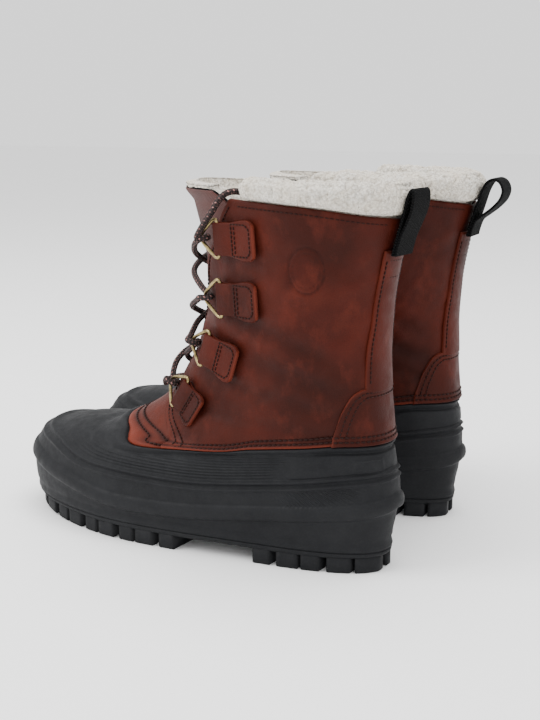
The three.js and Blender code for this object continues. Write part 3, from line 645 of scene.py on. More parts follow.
def rubber_look():
    """Moulded rubber: dull charcoal with a fine mould texture; the shade marks the knurling."""
    look = Look("rubber", 0.6, Specular_IOR_Level=0.1)
    cloud = look.range(look.fuzz(38, 3.0), 0.3, 0.7)
    base = look.mix(cloud, (0.0075, 0.0078, 0.0088), (0.012, 0.0124, 0.0136))
    dust = look.range(look.fuzz(1.2, 4.0, 0.7), 0.45, 0.85, 0, 0.35)
    look.color(look.mix(dust, base, (0.028, 0.028, 0.030)))
    look.rough(look.range(look.fuzz(6, 4.0), 0.3, 0.7, 0.5, 0.68))
    ribs = look.ribs(look.place, 230)
    knurl = look.math("MULTIPLY", ribs.outputs["Fac"], look.shade())
    look.bump((look.fuzz(0.6, 3.0, 0.7), 0.05), (look.fuzz(5, 3.0), 0.08), (knurl, 0.4))
    return look.material


def fleece_look(name, base, shadow):
    look = Look(name, 0.95, Specular_IOR_Level=0.15, Sheen_Weight=0.25, Sheen_Roughness=0.6)
    clumps = look.cells(1.9)
    warm = tuple(c * k for c, k in zip(base, (0.98, 0.94, 0.87)))
    tone = look.mix(look.range(look.fuzz(14, 3.0), 0.35, 0.7), base, warm)
    tone = look.mix(look.range(clumps, 0.3, 0.8, 0, 0.6), tone, shadow)
    look.color(tone)
    curls = look.fuzz(0.8, 4.0, 0.75)
    look.bump((look.math("SUBTRACT", 1.0, clumps), 1.0), (curls, 0.8))
    return look.material


def felt_look():
    look = Look("felt", 0.95, Specular_IOR_Level=0.2, Sheen_Weight=0.2)
    fibres = look.fuzz(1.0, 5.0, 0.75)
    look.color(look.mix(look.range(fibres, 0.3, 0.7), (0.24, 0.22, 0.2), (0.4, 0.375, 0.34)))
    look.bump((fibres, 0.35))
    return look.material


def twill_look():
    """Ribbed cloth of the tongue: fine diagonal ribs in the texture places, in millimetres."""
    look = Look("tongue_cloth", 0.85, Specular_IOR_Level=0.25, Sheen_Weight=0.15)
    ribs = look.ribs(look.along_uv(), 0.6)
    ribs.inputs["Distortion"].default_value = 0.4
    ribs.inputs["Detail Scale"].default_value = 2.0
    rib = ribs.outputs["Fac"]
    cloud = look.range(look.fuzz(20, 4.0), 0.35, 0.65)
    base = look.mix(cloud, (0.050, 0.0105, 0.007), (0.085, 0.018, 0.012))
    look.color(look.mix(look.range(rib, 0.0, 0.6, 0.4, 0.0), base, (0.022, 0.009, 0.008)))
    look.bump((rib, 0.25), (look.fuzz(0.5, 3.0), 0.1))
    return look.material


def webbing_look():
    """Black webbing, woven in fine chevrons along its length."""
    look = Look("webbing", 0.8, Specular_IOR_Level=0.05)
    along, across = look.uv_parts()
    fold = look.math("PINGPONG", across, 2.0)
    run = look.math("MULTIPLY", along, 3.6)
    chevron = look.math("ADD", run, look.math("MULTIPLY", fold, 2.4))
    thread = look.range(look.math("SINE", chevron), -1, 1)
    look.color(look.mix(thread, (0.0012, 0.0012, 0.0013), (0.006, 0.006, 0.0064)))
    look.bump((thread, 0.35), (look.fuzz(0.5, 2.0), 0.06))
    return look.material


def lace_look():
    """Round braid: two sets of strands crossing, dark brown with light flecks."""
    look = Look("lace_braid", 0.75, Specular_IOR_Level=0.3)
    along, around_lace = look.uv_parts()
    run = look.math("MULTIPLY", along, 2 * math.pi / 3.4)
    turn = look.math("MULTIPLY", around_lace, 2 * math.pi * 3)
    left = look.math("SINE", look.math("ADD", run, turn))
    right = look.math("SINE", look.math("SUBTRACT", run, turn))
    weave = look.range(look.math("MULTIPLY", left, right), -1, 1)
    flecks = look.math("MULTIPLY", look.range(left, 0.55, 0.8), look.range(right, -0.2, 0.3))
    spread = look.range(look.fuzz(4.0, 2.0), 0.45, 0.6, 0.25, 1.0)
    base = look.mix(look.range(weave, 0.2, 0.8), (0.008, 0.005, 0.005), (0.035, 0.018, 0.016))
    look.color(look.mix(look.math("MULTIPLY", flecks, spread), base, (0.36, 0.17, 0.15)))
    look.bump((weave, 0.6), (look.fuzz(0.4, 2.0), 0.08))
    return look.material


def brass_look():
    """Antique brass: darker where it has tarnished, brighter where it rubs."""
    look = Look("antique_brass", 0.38, 1.0)
    tarnish = look.range(look.fuzz(3.5, 5.0, 0.65), 0.4, 0.7)
    look.color(look.mix(tarnish, (0.36, 0.28, 0.13), (0.10, 0.07, 0.03)))
    look.rough(look.range(look.fuzz(1.2, 3.0), 0.3, 0.7, 0.26, 0.5))
    look.bump((look.fuzz(0.8, 3.0), 0.05))
    return look.material


def thread_look():
    look = Look("thread", 0.6, Specular_IOR_Level=0.1)
    look.color(look.mix(look.fuzz(1.0, 2.0), (0.008, 0.003, 0.0025), (0.022, 0.007, 0.005)))
    look.bump((look.fuzz(0.35, 2.0), 0.12))
    return look.material


LEATHER_LOOK = leather_look(
    "oiled_leather",
    dark=(0.028, 0.0042, 0.0020), middle=(0.056, 0.0080, 0.0038), light=(0.125, 0.022, 0.0115),
)
RUBBER_LOOK = rubber_look()
FLEECE_LOOK = fleece_look("fleece", base=(0.93, 0.885, 0.80), shadow=(0.50, 0.42, 0.32))
FELT_LOOK = felt_look()
CLOTH_LOOK = twill_look()
WEBBING_LOOK = webbing_look()
LACE_LOOK = lace_look()
BRASS_LOOK = brass_look()
THREAD_LOOK = thread_look()


# ---- rings and lace
EYE = RING_WIRE / 2 + GAP + TAB_LAYER
BAR_HEIGHT = TAB_LIFT + EYE
TAB_HOLE = RING_WIRE / 2 + 0.4
PAST_RING = 16  # degrees from a ring's bar to where the lace starts across


class Ring:
    """The place of one ring: origin on the leather under its bar, forward towards the tongue,
    bar along the bar, out from the leather, and forward turned out to the ring's plane."""

    def __init__(self, row, side):
        self.z, angle, turn = LACING[row]
        self.angle = side * angle
        self.side = side
        self.tilt = math.radians(turn)
        self.origin = outline(self.angle, self.z)
        self.out = normal(self.angle, self.z)
        along = unit(outline(self.angle + side, self.z) - outline(self.angle - side, self.z))
        up = unit(np.cross(self.out, along) * side)
        if up[2] < 0:
            up = -up
        self.forward = along * math.cos(self.tilt) + up * math.sin(self.tilt)
        self.bar = up * math.cos(self.tilt) - along * math.sin(self.tilt)
        self.centre = self.origin + self.out * BAR_HEIGHT
        self.reach = self.forward * math.cos(RING_PITCH) + self.out * math.sin(RING_PITCH)

    def behind(self, distance):
        """The leather's face and its outward direction at a distance rearward from the bar."""
        steps = 6
        angle, z = self.angle, self.z
        for _ in range(steps):
            per_degree = np.linalg.norm(outline(angle + 1, z) - outline(angle - 1, z)) / 2
            per_rise = np.linalg.norm(outline(angle, z + 1) - outline(angle, z - 1)) / 2
            angle -= self.side * distance / steps * math.cos(self.tilt) / per_degree
            z -= distance / steps * math.sin(self.tilt) / per_rise
        point = outline(angle, z)
        out = normal(angle, z)
        out = unit(out - self.bar * out.dot(self.bar))
        return point - self.bar * (point - self.origin).dot(self.bar), out


RINGS = {(word, i): Ring(i, side) for side, word in ((1, "outer"), (-1, "inner")) for i in range(4)}


def lace_route():
    """Where the lace runs, in the boot's own frame: from inside the leg over the rim, down
    through every second ring, across the throat, and back up through the others."""
    turn_radius = RING_WIRE / 2 + LACE / 2 + LACE_EASE
    on_leather = LACE / 2 + LACE_EASE
    points = []

    def pass_ring(row, side, reverse):
        ring = RINGS[("outer" if side > 0 else "inner", row)]
        tip = ring.centre + ring.reach * RING_REACH
        turns = [
            tip + ring.forward * turn_radius * math.cos(a) + ring.out * turn_radius * math.sin(a)
            for a in np.radians([90, 135, 180, 225, 270])
        ]
        points.extend(turns[::-1] if reverse else turns)

    def cross(row_a, row_b, side, lift):
        z_a, angle_a, _ = LACING[row_a]
        z_b, angle_b, _ = LACING[row_b]
        for t in (0.12, 0.34, 0.5, 0.66, 0.88):
            angle = lerp(side * (angle_a + PAST_RING), side * (360 - angle_b - PAST_RING), t)
            depth = on_leather + 0.8 + 5 * t * t + math.sin(math.pi * t) ** 2 * lift
            points.append(skin(angle, lerp(z_a, z_b, t), depth))

    def over_rim(side):
        stations = [
            (119, 230, 10.5), (113, 239, 7.5), (109, RIM_FRONT, 3.5), (106, RIM_FRONT + 4, -1),
            (103, RIM_FRONT + 3.5, -8), (100, RIM_FRONT - 1, -13.8), (96, RIM_FRONT - 16, -14),
            (92, 200, -14), (90, 165, -14), (90, 130, -14), (90, 100, -17), (90, 75, -22),
        ]
        return [skin(side * a, z, d) for a, z, d in stations]

    points.extend(over_rim(1)[::-1])
    rows = (0, 1, 2, 3, 3, 2, 1, 0)
    last = len(rows) - 1
    for k, row in enumerate(rows):
        side = -1 if k % 2 else 1
        pass_ring(row, side, reverse=k == last)
        if k < last:
            # On its way back up the lace crosses over its first run.
            cross(row, rows[k + 1], side, LACE + 2 * LACE_EASE if k > 3 else 0)
    points.extend(over_rim(-1))
    return np.array(points)


# The camera, fitted to the photograph: metres from the point midway between the two heels.
CAMERA_OFFSET = (0.725, 0.273)
CAMERA_HEIGHT = 0.300
CAMERA_YAW, CAMERA_PITCH = math.radians(29.1), math.radians(12.3)
SENSOR_HEIGHT = 24
LENS_TO_SENSOR = 1.562


def add_camera():
    """The photograph's view."""
    heel = (to_row("left", (0, 0, 0)) + to_row("right", (0, 0, 0))) / 2
    data = bpy.data.cameras.new("camera")
    data.sensor_fit = "VERTICAL"
    data.sensor_height = SENSOR_HEIGHT
    data.lens = SENSOR_HEIGHT * LENS_TO_SENSOR
    data.clip_start = 0.01
    camera = bpy.data.objects.new("camera", data)
    bpy.context.scene.collection.objects.link(camera)
    camera.location = (heel[0] + CAMERA_OFFSET[0], heel[1] + CAMERA_OFFSET[1], CAMERA_HEIGHT)
    level = math.cos(CAMERA_PITCH)
    look = Vector((-math.cos(CAMERA_YAW) * level, -math.sin(CAMERA_YAW) * level, -math.sin(CAMERA_PITCH)))
    camera.rotation_euler = look.to_track_quat("-Z", "Y").to_euler()
    bpy.context.scene.camera = camera


def add_laces():
    route = lace_route()
    path = smooth_path(route, 1.6)
    braid = tube(path, LACE / 2 - LACE_SLIMMED, 12)
    for boot in BOOTS:
        piece = make(boot, "lace_braid", braid, LACE_LOOK, "boot", ["lace"])


def add_rings():
    half = TAB_WIDTH / 2 + RING_WIRE / 2 + GAP
    outline_points = [
        (-half + 2.4, 0), (-5, 0), (0, 0), (5, 0), (half - 2.4, 0), (half - 0.4, 0.6), (half, 2.2),
        (half - 1.1, 4.4), (4.6, RING_REACH - 2.4), (2.4, RING_REACH - 0.5), (0, RING_REACH),
        (-2.4, RING_REACH - 0.5), (-4.6, RING_REACH - 2.4), (-half + 1.1, 4.4), (-half, 2.2),
        (-half + 0.4, 0.6),
    ]
    for (word, i), ring in RINGS.items():
        points = [ring.centre + ring.bar * a + ring.reach * r for a, r in outline_points]
        path = smooth_path(points, 1.0, closed=True)
        radius = RING_WIRE / 2 - WIRE_SLIMMED
        wire = tube(path, radius, 12, closed=True, up=np.cross(ring.bar, ring.reach))
        name = f"ring_{word}_{i + 1}"
        make_pair(name + "_wire", wire, BRASS_LOOK, name, [name])


# ---- tabs
def tab_solid(ring):
    """Leather folded round the ring's bar and laid flat behind it."""
    length = TAB_LENGTH - 2
    corner = 5.5
    fold_width = TAB_WIDTH / 2 - 0.2
    run = np.concatenate(
        [np.linspace(length, length - corner, 8), np.linspace(length - corner, 6.5, 12)[1:]]
    )
    columns = shares(14, 0.03) * 2 - 1
    full = rolls(len(columns))
    outer, inner, shade = [], [], []

    def row(a, h_out, h_in, from_end, pale):
        """Samples across one layer, at a distance behind the bar; the first rows taper."""
        point, out = ring.behind(a)
        wide = fold_width + 2.4 * smoothstep(a, 8, 24)
        if a > length - corner:
            wide += math.sqrt(max(corner**2 - (a - (length - corner)) ** 2, 0)) - corner
        sag = 0.45 * smoothstep(a, 9.5, 12) * hump(np.abs(columns) ** 4, 0.8)
        sag = sag * (1 - smoothstep(a, length - 3.5, length - 1.5))
        swell = 0.9 * smoothstep(a, 0, 5) * (1 - smoothstep(a, 6, 12)) - sag
        upper = h_out > h_in
        fill = (0.3, 0.8, 1)[min(from_end, 2)]
        heights = h_in + (h_out - h_in) * fill * full + (1 if upper else -0.15) * swell
        across = point + ring.bar * (columns * wide)[:, None]
        outer.append(across + out * heights[:, None])
        inner.append(across + out * (h_in + (swell if upper else 0 * swell))[:, None])
        shade.append(np.clip((1 - full) * 0.5 + (pale if from_end < 2 else 0), 0, 1))

    for k, a in enumerate(run):
        row(a, TAB_LIFT, TAB_LIFT + TAB_LAYER - 0.05, k, 0.5)
    across = ring.origin + ring.bar * (columns * fold_width)[:, None]
    radius = TAB_HOLE + (EYE - TAB_HOLE) * full
    for turn in np.radians(np.linspace(250, 110, 12)):
        c, s = math.cos(turn), math.sin(turn)
        outer.append(
            across + ring.out * (BAR_HEIGHT + radius * s)[:, None] - ring.forward * (radius * c)[:, None]
        )
        inner.append(across + ring.out * (BAR_HEIGHT + TAB_HOLE * s) - ring.forward * (TAB_HOLE * c))
        shade.append((1 - full) * 0.5)
    for k, a in enumerate(run[::-1]):
        row(a, TAB_LIFT + 2 * TAB_LAYER, TAB_LIFT + TAB_LAYER + 0.05, len(run) - 1 - k, 0.6)
    return slab(np.array(outer), np.array(inner), shade=np.array(shade))


def tab_stitches(ring):
    """A sewn box on the rear half of a tab, with a second row across its front."""
    top = TAB_LIFT + 2 * TAB_LAYER - 0.35
    rear, front, side = TAB_LENGTH - 5.2, 12.5, TAB_WIDTH / 2 - 0.6

    def on_top(points):
        placed, outs = [], []
        for a, w in points:
            point, out = ring.behind(a)
            placed.append(point + out * top + ring.bar * w)
            outs.append(out)
        return np.array(placed), np.array(outs)

    box = [(front, -side), (front + 7, -side), (rear - 3, -side), (rear, -side + 3), (rear, 0),
           (rear, side - 3), (rear - 3, side), (front + 7, side), (front, side), (front, 0), (front, -side)]
    second = [(front + 2.6, -side + 1), (front + 2.6, 0), (front + 2.6, side - 1)]
    return [stitches(*on_top(row), pitch=2.7, thread=0.5) for row in (box, second)]


def add_tabs():
    sewn = []
    for (word, i), ring in RINGS.items():
        name = f"tab_{word}_{i + 1}"
        make_pair(name + "_leather", tab_solid(ring), LEATHER_LOOK, "boot", [name])
        sewn += tab_stitches(ring)
    make_pair("tab_thread", joined(sewn), THREAD_LOOK)


# ---- rubber
ROUND = np.arange(0, 360, 1.25)


def level_loop(z, depth):
    points = skin(ROUND, z, depth)
    points[:, 2] = z
    return points


def shell_relief(angle, z):
    """How far the rubber's outside stands off the boot's outline."""
    low, high, top = lower_ridge(angle), upper_ridge(angle), hem(angle)
    side = np.abs(signed(angle))
    fade = 1 - 0.35 * smoothstep(side, 140, 175)
    wall = -2.0 * (1 - smoothstep(z, low - 4.0, low + 0.5))
    bulge = 2.3 * np.sqrt(np.clip(1 - ((z - low - 4.5) / 5.5) ** 2, 0, 1)) * fade
    band = 0.5 * smoothstep(z, low + 12, high - 1) * (1 - smoothstep(z, high + 5.6, high + 6.4))
    ribs = 1.2 * hump(z - high - 0.2, 1.0) + 1.2 * hump(z - high - 5.2, 1.0) - 0.7 * hump(z - high - 2.7, 1.2)
    above = -1.0 * smoothstep(z, high + 6.2, high + 7.4) * (1 - smoothstep(z, lerp(high, top, 0.75), top - 2))
    foot = 0.7 * hump(z - 16.5, 1.6) - 0.6 * hump(z - 20.5, 1.2)
    lip = 1.1 * hump(z - top + 1.5, 1.2) - 1.0 * hump(z - top + 4.6, 1.3)
    mid = smoothstep(side, 60, 66) * (1 - smoothstep(side, 118, 140))
    flutes = 0.3 * mid * np.sin(2 * np.pi * (z - high) / 2.1)
    flutes = flutes * smoothstep(z, high + 8, high + 9) * (1 - smoothstep(z, top - 7, top - 5))
    bound = 57 - 0.045 * np.maximum(z - (top - 16), 0) ** 2
    heel = 1.0 * (1 - smoothstep(side, bound - 0.9, bound + 0.5))
    heel = heel * smoothstep(z, high + 7, high + 8) * (1 - smoothstep(z, top - 6.5, top - 5))
    return wall + bulge + band + ribs * fade + above + foot + lip + flutes + heel + plate(angle, z)


def plate(angle, z):
    """A plain raised frame on the outer side of the heel, just under the leather."""
    x = (angle - 21) * 0.72
    y = z - 76.5
    edge = np.maximum(np.abs(x) - 7.5, np.abs(y) - 4.2)
    return 0.55 * hump(edge, 0.7) + 0.2 * (edge < 0)


def shell_solid():
    low, high, top = lower_ridge(ROUND), upper_ridge(ROUND), hem(ROUND)
    bottom = OUTSOLE_TOP + GAP

    def between(a, b, count):
        return [lerp(a, b, share) for share in np.linspace(0, 1, count, endpoint=False)]

    def beside(line, start, stop, step):
        return [line + offset for offset in np.arange(start, stop, step)]

    heights = np.array(
        between(bottom, low - 3, 12) + beside(low, -3, 12, 0.7)
        + between(low + 12, high - 2.5, 10) + beside(high, -2.5, 9, 0.55)
        + between(high + 9, top - 6.5, 46) + beside(top, -6.5, -0.2, 0.45)
    )
    angle = np.broadcast_to(ROUND, heights.shape)
    outside = skin(angle, heights, shell_relief(angle, heights))
    outside[0, :, 2] = bottom
    inset = -(LEATHER + EASE + GAP)
    inside = [skin(ROUND, line, depth) for line, depth in (
        (top - 0.2, -0.6),
        (top - 0.2, inset),
        (top + FLANGE_LAP, inset),
        (top + FLANGE_LAP, inset - FLANGE_WALL),
        (top - 2, inset - FLANGE_WALL),
        (lerp(high, top, 0.6), -RUBBER_WALL - 0.3),
        (lerp(high, top, 0.3), -RUBBER_WALL - 0.3),
        (lerp(low, high, 0.6), -RUBBER_WALL),
        (low, -RUBBER_WALL - 0.4),
    )]
    inside.append(level_loop(bottom + SHELL_FLOOR, -RUBBER_WALL - RIDGE_STEP))
    loops = np.concatenate([outside, np.array(inside)])
    side = signed(angle)
    knurl = smoothstep(side, 24, 32) * (1 - smoothstep(side, 52, 62))
    knurl = knurl * smoothstep(heights, high - 15, high - 8) * (1 - smoothstep(heights, high - 2, high - 1))
    shade = np.concatenate([knurl, np.zeros((len(inside), len(ROUND)))])
    return stack(loops, shade)


def spring(u):
    """How far the tread has lifted off the floor towards the toe."""
    return np.maximum(np.asarray(u, float) - TOE_SPRING_START, 0) ** 2 / (2 * TOE_SPRING_RADIUS)


HEEL_BLOCK_END = 87
ARCH_END = 147
TREAD_PITCH = 17
TREAD_GROOVE = 5
LUG_HEIGHT = 10.5  # the photograph's; the CAD model's is TREAD_DEPTH
LUG_START = 5.5


def outsole_solid():
    """The sole's plate and its lugs; under the waist there are none."""
    wall = level_loop(TREAD_DEPTH, -RIDGE_STEP)
    wall[:, 2] = LUG_HEIGHT
    face = wall.copy()
    middle = wall.mean(0)
    face[:, :2] = middle[:2] + (face[:, :2] - middle[:2]) * 0.985
    wall[:, 2] += 0.8
    parts = [stack([face, wall, level_loop(OUTSOLE_TOP, -RIDGE_STEP)])]
    outer_half = ROUND <= 180
    inner_half = (ROUND >= 180) | (ROUND == 0)
    ground = level_loop(3, -RIDGE_STEP)

    def reach(u, half):
        u_line, v_line = ground[half, 0], ground[half, 1]
        order = np.argsort(u_line)
        return np.interp(u, u_line[order], v_line[order])

    def lug(from_u, to_u, half, sign):
        us = np.linspace(from_u, to_u, 7)
        outer_v = reach(us, half)
        middle_v = (reach(us, outer_half) + reach(us, inner_half)) / 2 + sign * 3
        plan = np.concatenate([np.stack([us, outer_v], -1), np.stack([us, middle_v], -1)[::-1]])
        if np.abs(outer_v - middle_v).min() < 4:
            return None
        centre = plan.mean(0)
        away = plan - centre
        pulled = centre + away * (1 - 1.0 / np.maximum(np.linalg.norm(away, axis=1), 2))[:, None]
        n = len(plan)
        top = np.full((n, 1), LUG_HEIGHT + 1.3)
        low = spring(plan[:, :1])
        rings = [np.hstack([plan, top]), np.hstack([plan, low + 0.8]), np.hstack([pulled, low])]
        faces = [tuple(q) for q in quads(3, n, wrap_columns=True)]
        for base in (0, 2 * n):
            for i in range(n // 2 - 1):
                faces.append((base + i, base + i + 1, base + n - 2 - i, base + n - 1 - i))
        return Solid(np.concatenate(rings), faces)

    blocks = []
    u = HEEL_BLOCK_END
    while u > TREAD_PITCH:
        low_u = max(u - TREAD_PITCH + (2.6 if len(blocks) % 2 else TREAD_GROOVE), LUG_START)
        blocks.append((low_u, u))
        u -= TREAD_PITCH
    blocks.append((LUG_START, u))
    u = ARCH_END
    while u < FOOT_LENGTH - 22:
        gap = 2.8 if len(blocks) % 2 else TREAD_GROOVE + 0.6
        blocks.append((u, min(u + TREAD_PITCH - gap, FOOT_LENGTH - 13)))
        u += TREAD_PITCH
    for low_u, high_u in blocks:
        if high_u - low_u < 3:
            continue
        for half, sign in ((outer_half, 1), (inner_half, -1)):
            made = lug(low_u, high_u, half, sign)
            if made:
                parts.append(made)
    return joined(parts)


def add_rubber():
    make_pair("shell_rubber", shell_solid(), RUBBER_LOOK, nodes=["shell"])
    make_pair("outsole_rubber", outsole_solid(), RUBBER_LOOK, nodes=["outsole"])


# ---- leather
def meeting(edge, top, share):
    """The angle where an edge, angle against height, meets a share of the way up from the hem."""
    angle = np.full(np.shape(share), 110.0)
    for _ in range(40):
        angle = lerp(angle, edge(lerp(hem(angle), top(angle), share)), 0.4)
    return angle


def folds(points):
    """Soft creases of worn leather, in millimetres."""
    stretched = points * (1, 1, 1.6)
    slanted = stretched + points[..., :1] * (0, 0, 0.9)
    return 0.9 * noise(stretched, 34, 3) + 0.4 * noise(slanted, 13, 5) + 0.1 * noise(points, 5, 8)


def pressed(relief, at, lines, deep=PRESSED_DEEP):
    """A relief with grooves where rows of stitches pull the leather in."""
    for line in lines:
        relief = relief - deep * hump(at - line, PRESSED_WIDE)
    return relief


def shaded_seam_grooves(pale, above):
    """A shade made darker along the rows of stitches over the hem: painted shade in the grooves that the
    stitches press in.
    """
    for line in STITCH_LINES:
        pale = pale - 0.55 * hump(above - line, 0.7) * (above > 1.5)
    return np.clip(pale, -0.8, 1)


CREASES = [(176, -0.4, 1.3, 6), (152, -0.34, 1.4, 6), (128, -0.22, 1.1, 5), (104, -0.1, 0.8, 4)]
BADGE_ANGLE, BADGE_HEIGHT = 63, 205


def creases(angle, z):
    """Long shallow folds that run down and back from the lacing across the ankle."""
    side = np.abs(signed(angle))
    reach = smoothstep(side, 25, 60) * (1 - smoothstep(side, 128, 140))
    total = 0
    for start, slope, depth, width in CREASES:
        line = start + slope * (120 - side)
        total = total - depth * reach * hump(z - line, width)
    return total


def badge(angle, z):
    """A plain oval pressed into the outer side of the leg."""
    centre = outline(BADGE_ANGLE, BADGE_HEIGHT)
    x = (angle - BADGE_ANGLE) * np.linalg.norm(outline(BADGE_ANGLE + 1, BADGE_HEIGHT) - centre)
    y = z - BADGE_HEIGHT
    r = np.sqrt((x / 11.5) ** 2 + (y / 14.5) ** 2)
    grooves = -1.0 * hump((r - 1) * 13, 0.8) - 0.7 * hump((r - 0.78) * 13, 0.6)
    return grooves + 0.45 * (1 - smoothstep(r, 0.9, 1.0))


HEM_ROWS = np.array([0, 0.4, 1.1, 1.9, 2.6, 3.2, 3.8, 4.8, 5.8, 6.4, 7.0, 7.8, 9.0])
STITCH_LINES = (3.2, 6.4)
COUNTER_LINES = (2.6, 5.4)


def quarter_edge(z):
    """The front edge of a quarter: along the vamp, then along the lacing."""
    return np.where(z < VAMP_TOP, vamp_edge(z) - SEAM, facing(z))


def quarter_solid(side):
    columns = shares(104, 0.006)
    upper = np.linspace(0, 1, 118)[1:]
    back_seam = 0.35
    approx = rim(60) - hem(60)
    share = np.concatenate([HEM_ROWS / approx, lerp(HEM_ROWS[-1] / approx, 1, upper)])
    share[-2], share[-3] = 1 - 0.3 / approx, 1 - 0.9 / approx
    edge = meeting(quarter_edge, rim, share)[:, None]
    angle = lerp(back_seam, edge, columns[None, :])
    z = lerp(hem(angle), rim(angle), share[:, None])
    full = rounded(len(share), len(columns))
    above = z - hem(angle)
    worn = folds(outline(side * angle, z)) * smoothstep(above, 6, 24) * (1 - smoothstep(z, 216, 236))
    relief = pressed(worn + creases(angle, z) + 0.7 * hump(above, 2.2), above, STITCH_LINES)
    relief = relief - 0.35 * hump(rim(angle) - z - 4, 0.5)
    ahead = (edge - angle) * 0.8
    front = smoothstep(VAMP_TOP + 4 - z, 0, 6)
    relief = relief + 1.1 * hump(ahead, 7) * front - 0.35 * hump(ahead - 3, 0.6)
    if side > 0:
        relief = relief + badge(angle, z)
    high = -LEATHER + LEATHER * full + relief
    outer = skin(side * angle, z, high)
    inner = skin(side * angle, z, -LEATHER + np.minimum(relief, 0.6))
    pale = 0.7 * hump(above, 1.6) + (1 - full) * 0.45 + 0.15 * hump(ahead, 5)
    # The shade adds 0.22 of the relief: raised leather is lighter, and creases and hollows are darker as
    # painted shade.
    return slab(outer, inner, shade=shaded_seam_grooves(pale + 0.22 * np.clip(relief, -2.4, 1.2), above))


def vamp_solid():
    columns = shares(96, 0.006)
    upper = np.linspace(0, 1, 26)[1:]
    approx = VAMP_TOP - 78
    share = np.concatenate([HEM_ROWS / approx, lerp(HEM_ROWS[-1] / approx, 1, upper)])
    under = 4.0
    top = VAMP_TOP + 3.0
    edge = meeting(lambda z: vamp_edge(z) - under, lambda angle: top, share)[:, None]
    angle = lerp(edge, 360 - edge, columns[None, :])
    z = lerp(hem(angle), top, share[:, None])
    full = rolls(len(share))[:, None] * np.ones((1, len(columns)))
    above = z - hem(angle)
    tuck = -1.3 * (1 - smoothstep(np.minimum(angle - edge, 360 - edge - angle), 3, 6))
    relief = 0.5 * folds(outline(angle, z)) * smoothstep(above, 6, 16) + 0.7 * hump(above, 2.2) + tuck
    relief = pressed(relief, above, STITCH_LINES) - 1.0 * smoothstep(z, VAMP_TOP - 3, top)
    high = -LEATHER + LEATHER * full + relief
    # The added 0.35 is painted light: it makes the whole vamp over the toe lighter, as where the light falls.
    shade = shaded_seam_grooves(0.7 * hump(above, 1.6) + (1 - full) * 0.4 + 0.35, above)
    return slab(skin(angle, z, high), skin(angle, z, -LEATHER + relief), shade=shade)


def overlay(angle, z, base, full, relief, pale):
    """A leather piece sewn over the others, from base off the outside."""
    top, under = skin(angle, z, base + OVERLAY * full + relief), skin(angle, z, base - 0.4)
    return slab(top, under, shade=np.clip((1 - full) * 0.5 + pale, 0, 1))


def counter_solid():
    half = 45.5
    columns = lerp(-half, half, shares(74, 0.01))
    rows = shares(34, 0.02)
    angle = np.broadcast_to(columns[None, :], (len(rows), len(columns)))
    z = lerp(hem(angle) + 0.2, counter(angle), rows[:, None])
    full = rounded(len(rows), len(columns))
    edge = np.minimum(counter(angle) - z, (half - np.abs(angle)) * 0.75)
    above = z - hem(angle)
    relief = 0.25 * folds(outline(angle, z)) + 0.9 * hump(above, 2.2)
    relief = pressed(pressed(relief, edge, COUNTER_LINES, 0.3), above, STITCH_LINES, 0.35)
    return overlay(angle, z, 0.25, full, relief, 0.25 * hump(edge, 1.3))


def backstay_solid():
    columns = shares(26, 0.03) * 2 - 1
    rows = shares(70, 0.006)
    z = np.broadcast_to(lerp(COUNTER_TOP - 3, LOOP_FOOT + 3, rows)[:, None], (len(rows), len(columns)))
    angle = columns[None, :] * strip_edge(z)
    edge = (1 - np.abs(columns[None, :])) * 12
    dome = 0.9 * (1 - columns[None, :] ** 2)
    relief = dome + -0.4 * hump(edge - 2.2, 0.6) + 0.25 * folds(outline(angle, z))
    return overlay(angle, z, 0.2, rounded(len(rows), len(columns)), relief, 0.1 * hump(edge, 1.0))


def seams():
    """The rows of stitches on the leather, apart from the tabs'."""
    rows = []

    def row(angle, z, depth, pitch, thread):
        rows.append(stitches(skin(angle, z, depth), normal(angle, z), pitch, thread))

    end, sewn = 44.5, OVERLAY + 0.1
    whole = np.linspace(-178, 182, 721)
    for line in STITCH_LINES:
        row(whole, hem(whole) + line, np.where(np.abs(whole) < end, sewn, -0.15), 3.6, 0.62)
    arc = np.linspace(-44, 44, 300)
    for inset in COUNTER_LINES:
        reach = end - inset * 1.2
        inside = arc[np.abs(arc) <= reach]
        row(inside, counter(inside * end / reach) - inset, sewn, 3.0, 0.5)
    z = np.linspace(COUNTER_TOP + 3, LOOP_FOOT - 3, 60)
    for side in (-1, 1):
        row(side * strip_edge(z) * 0.82, z, OVERLAY + 0.25, 3.0, 0.48)
    across = np.linspace(-9, 9, 20)
    for level in (LOOP_FOOT - 14, LOOP_FOOT - 3):
        row(across, level, 2.6 - 0.008 * across * across, 2.8, 0.36)
    for side in (-1, 1):
        z = np.linspace(76, VAMP_TOP - 1, 40)
        for inset in (2.6, 5.2):
            row(side * (vamp_edge(z) - SEAM - inset * 1.25), z, 0.75, 3.0, 0.5)
        z = np.linspace(VAMP_TOP + 4, RIM_FRONT - 5, 160)
        row(side * (facing(z) - 3.6), z, -0.1, 3.0, 0.48)
        angles = np.linspace(16, 101, 200)
        row(side * angles, rim(angles) - 4, -0.1, 3.2, 0.34)
    return joined(rows)


def add_leather():
    solids = {
        "quarter_outer": quarter_solid(1), "quarter_inner": quarter_solid(-1), "vamp": vamp_solid(),
        "heel_counter": counter_solid(), "backstay": backstay_solid(),
    }
    for node, solid in solids.items():
        make_pair(node + "_leather", solid, LEATHER_LOOK, nodes=[node])
    make_pair("seam_thread", seams(), THREAD_LOOK)


# ---- tongue
TONGUE_FOOT = VAMP_TOP - 4


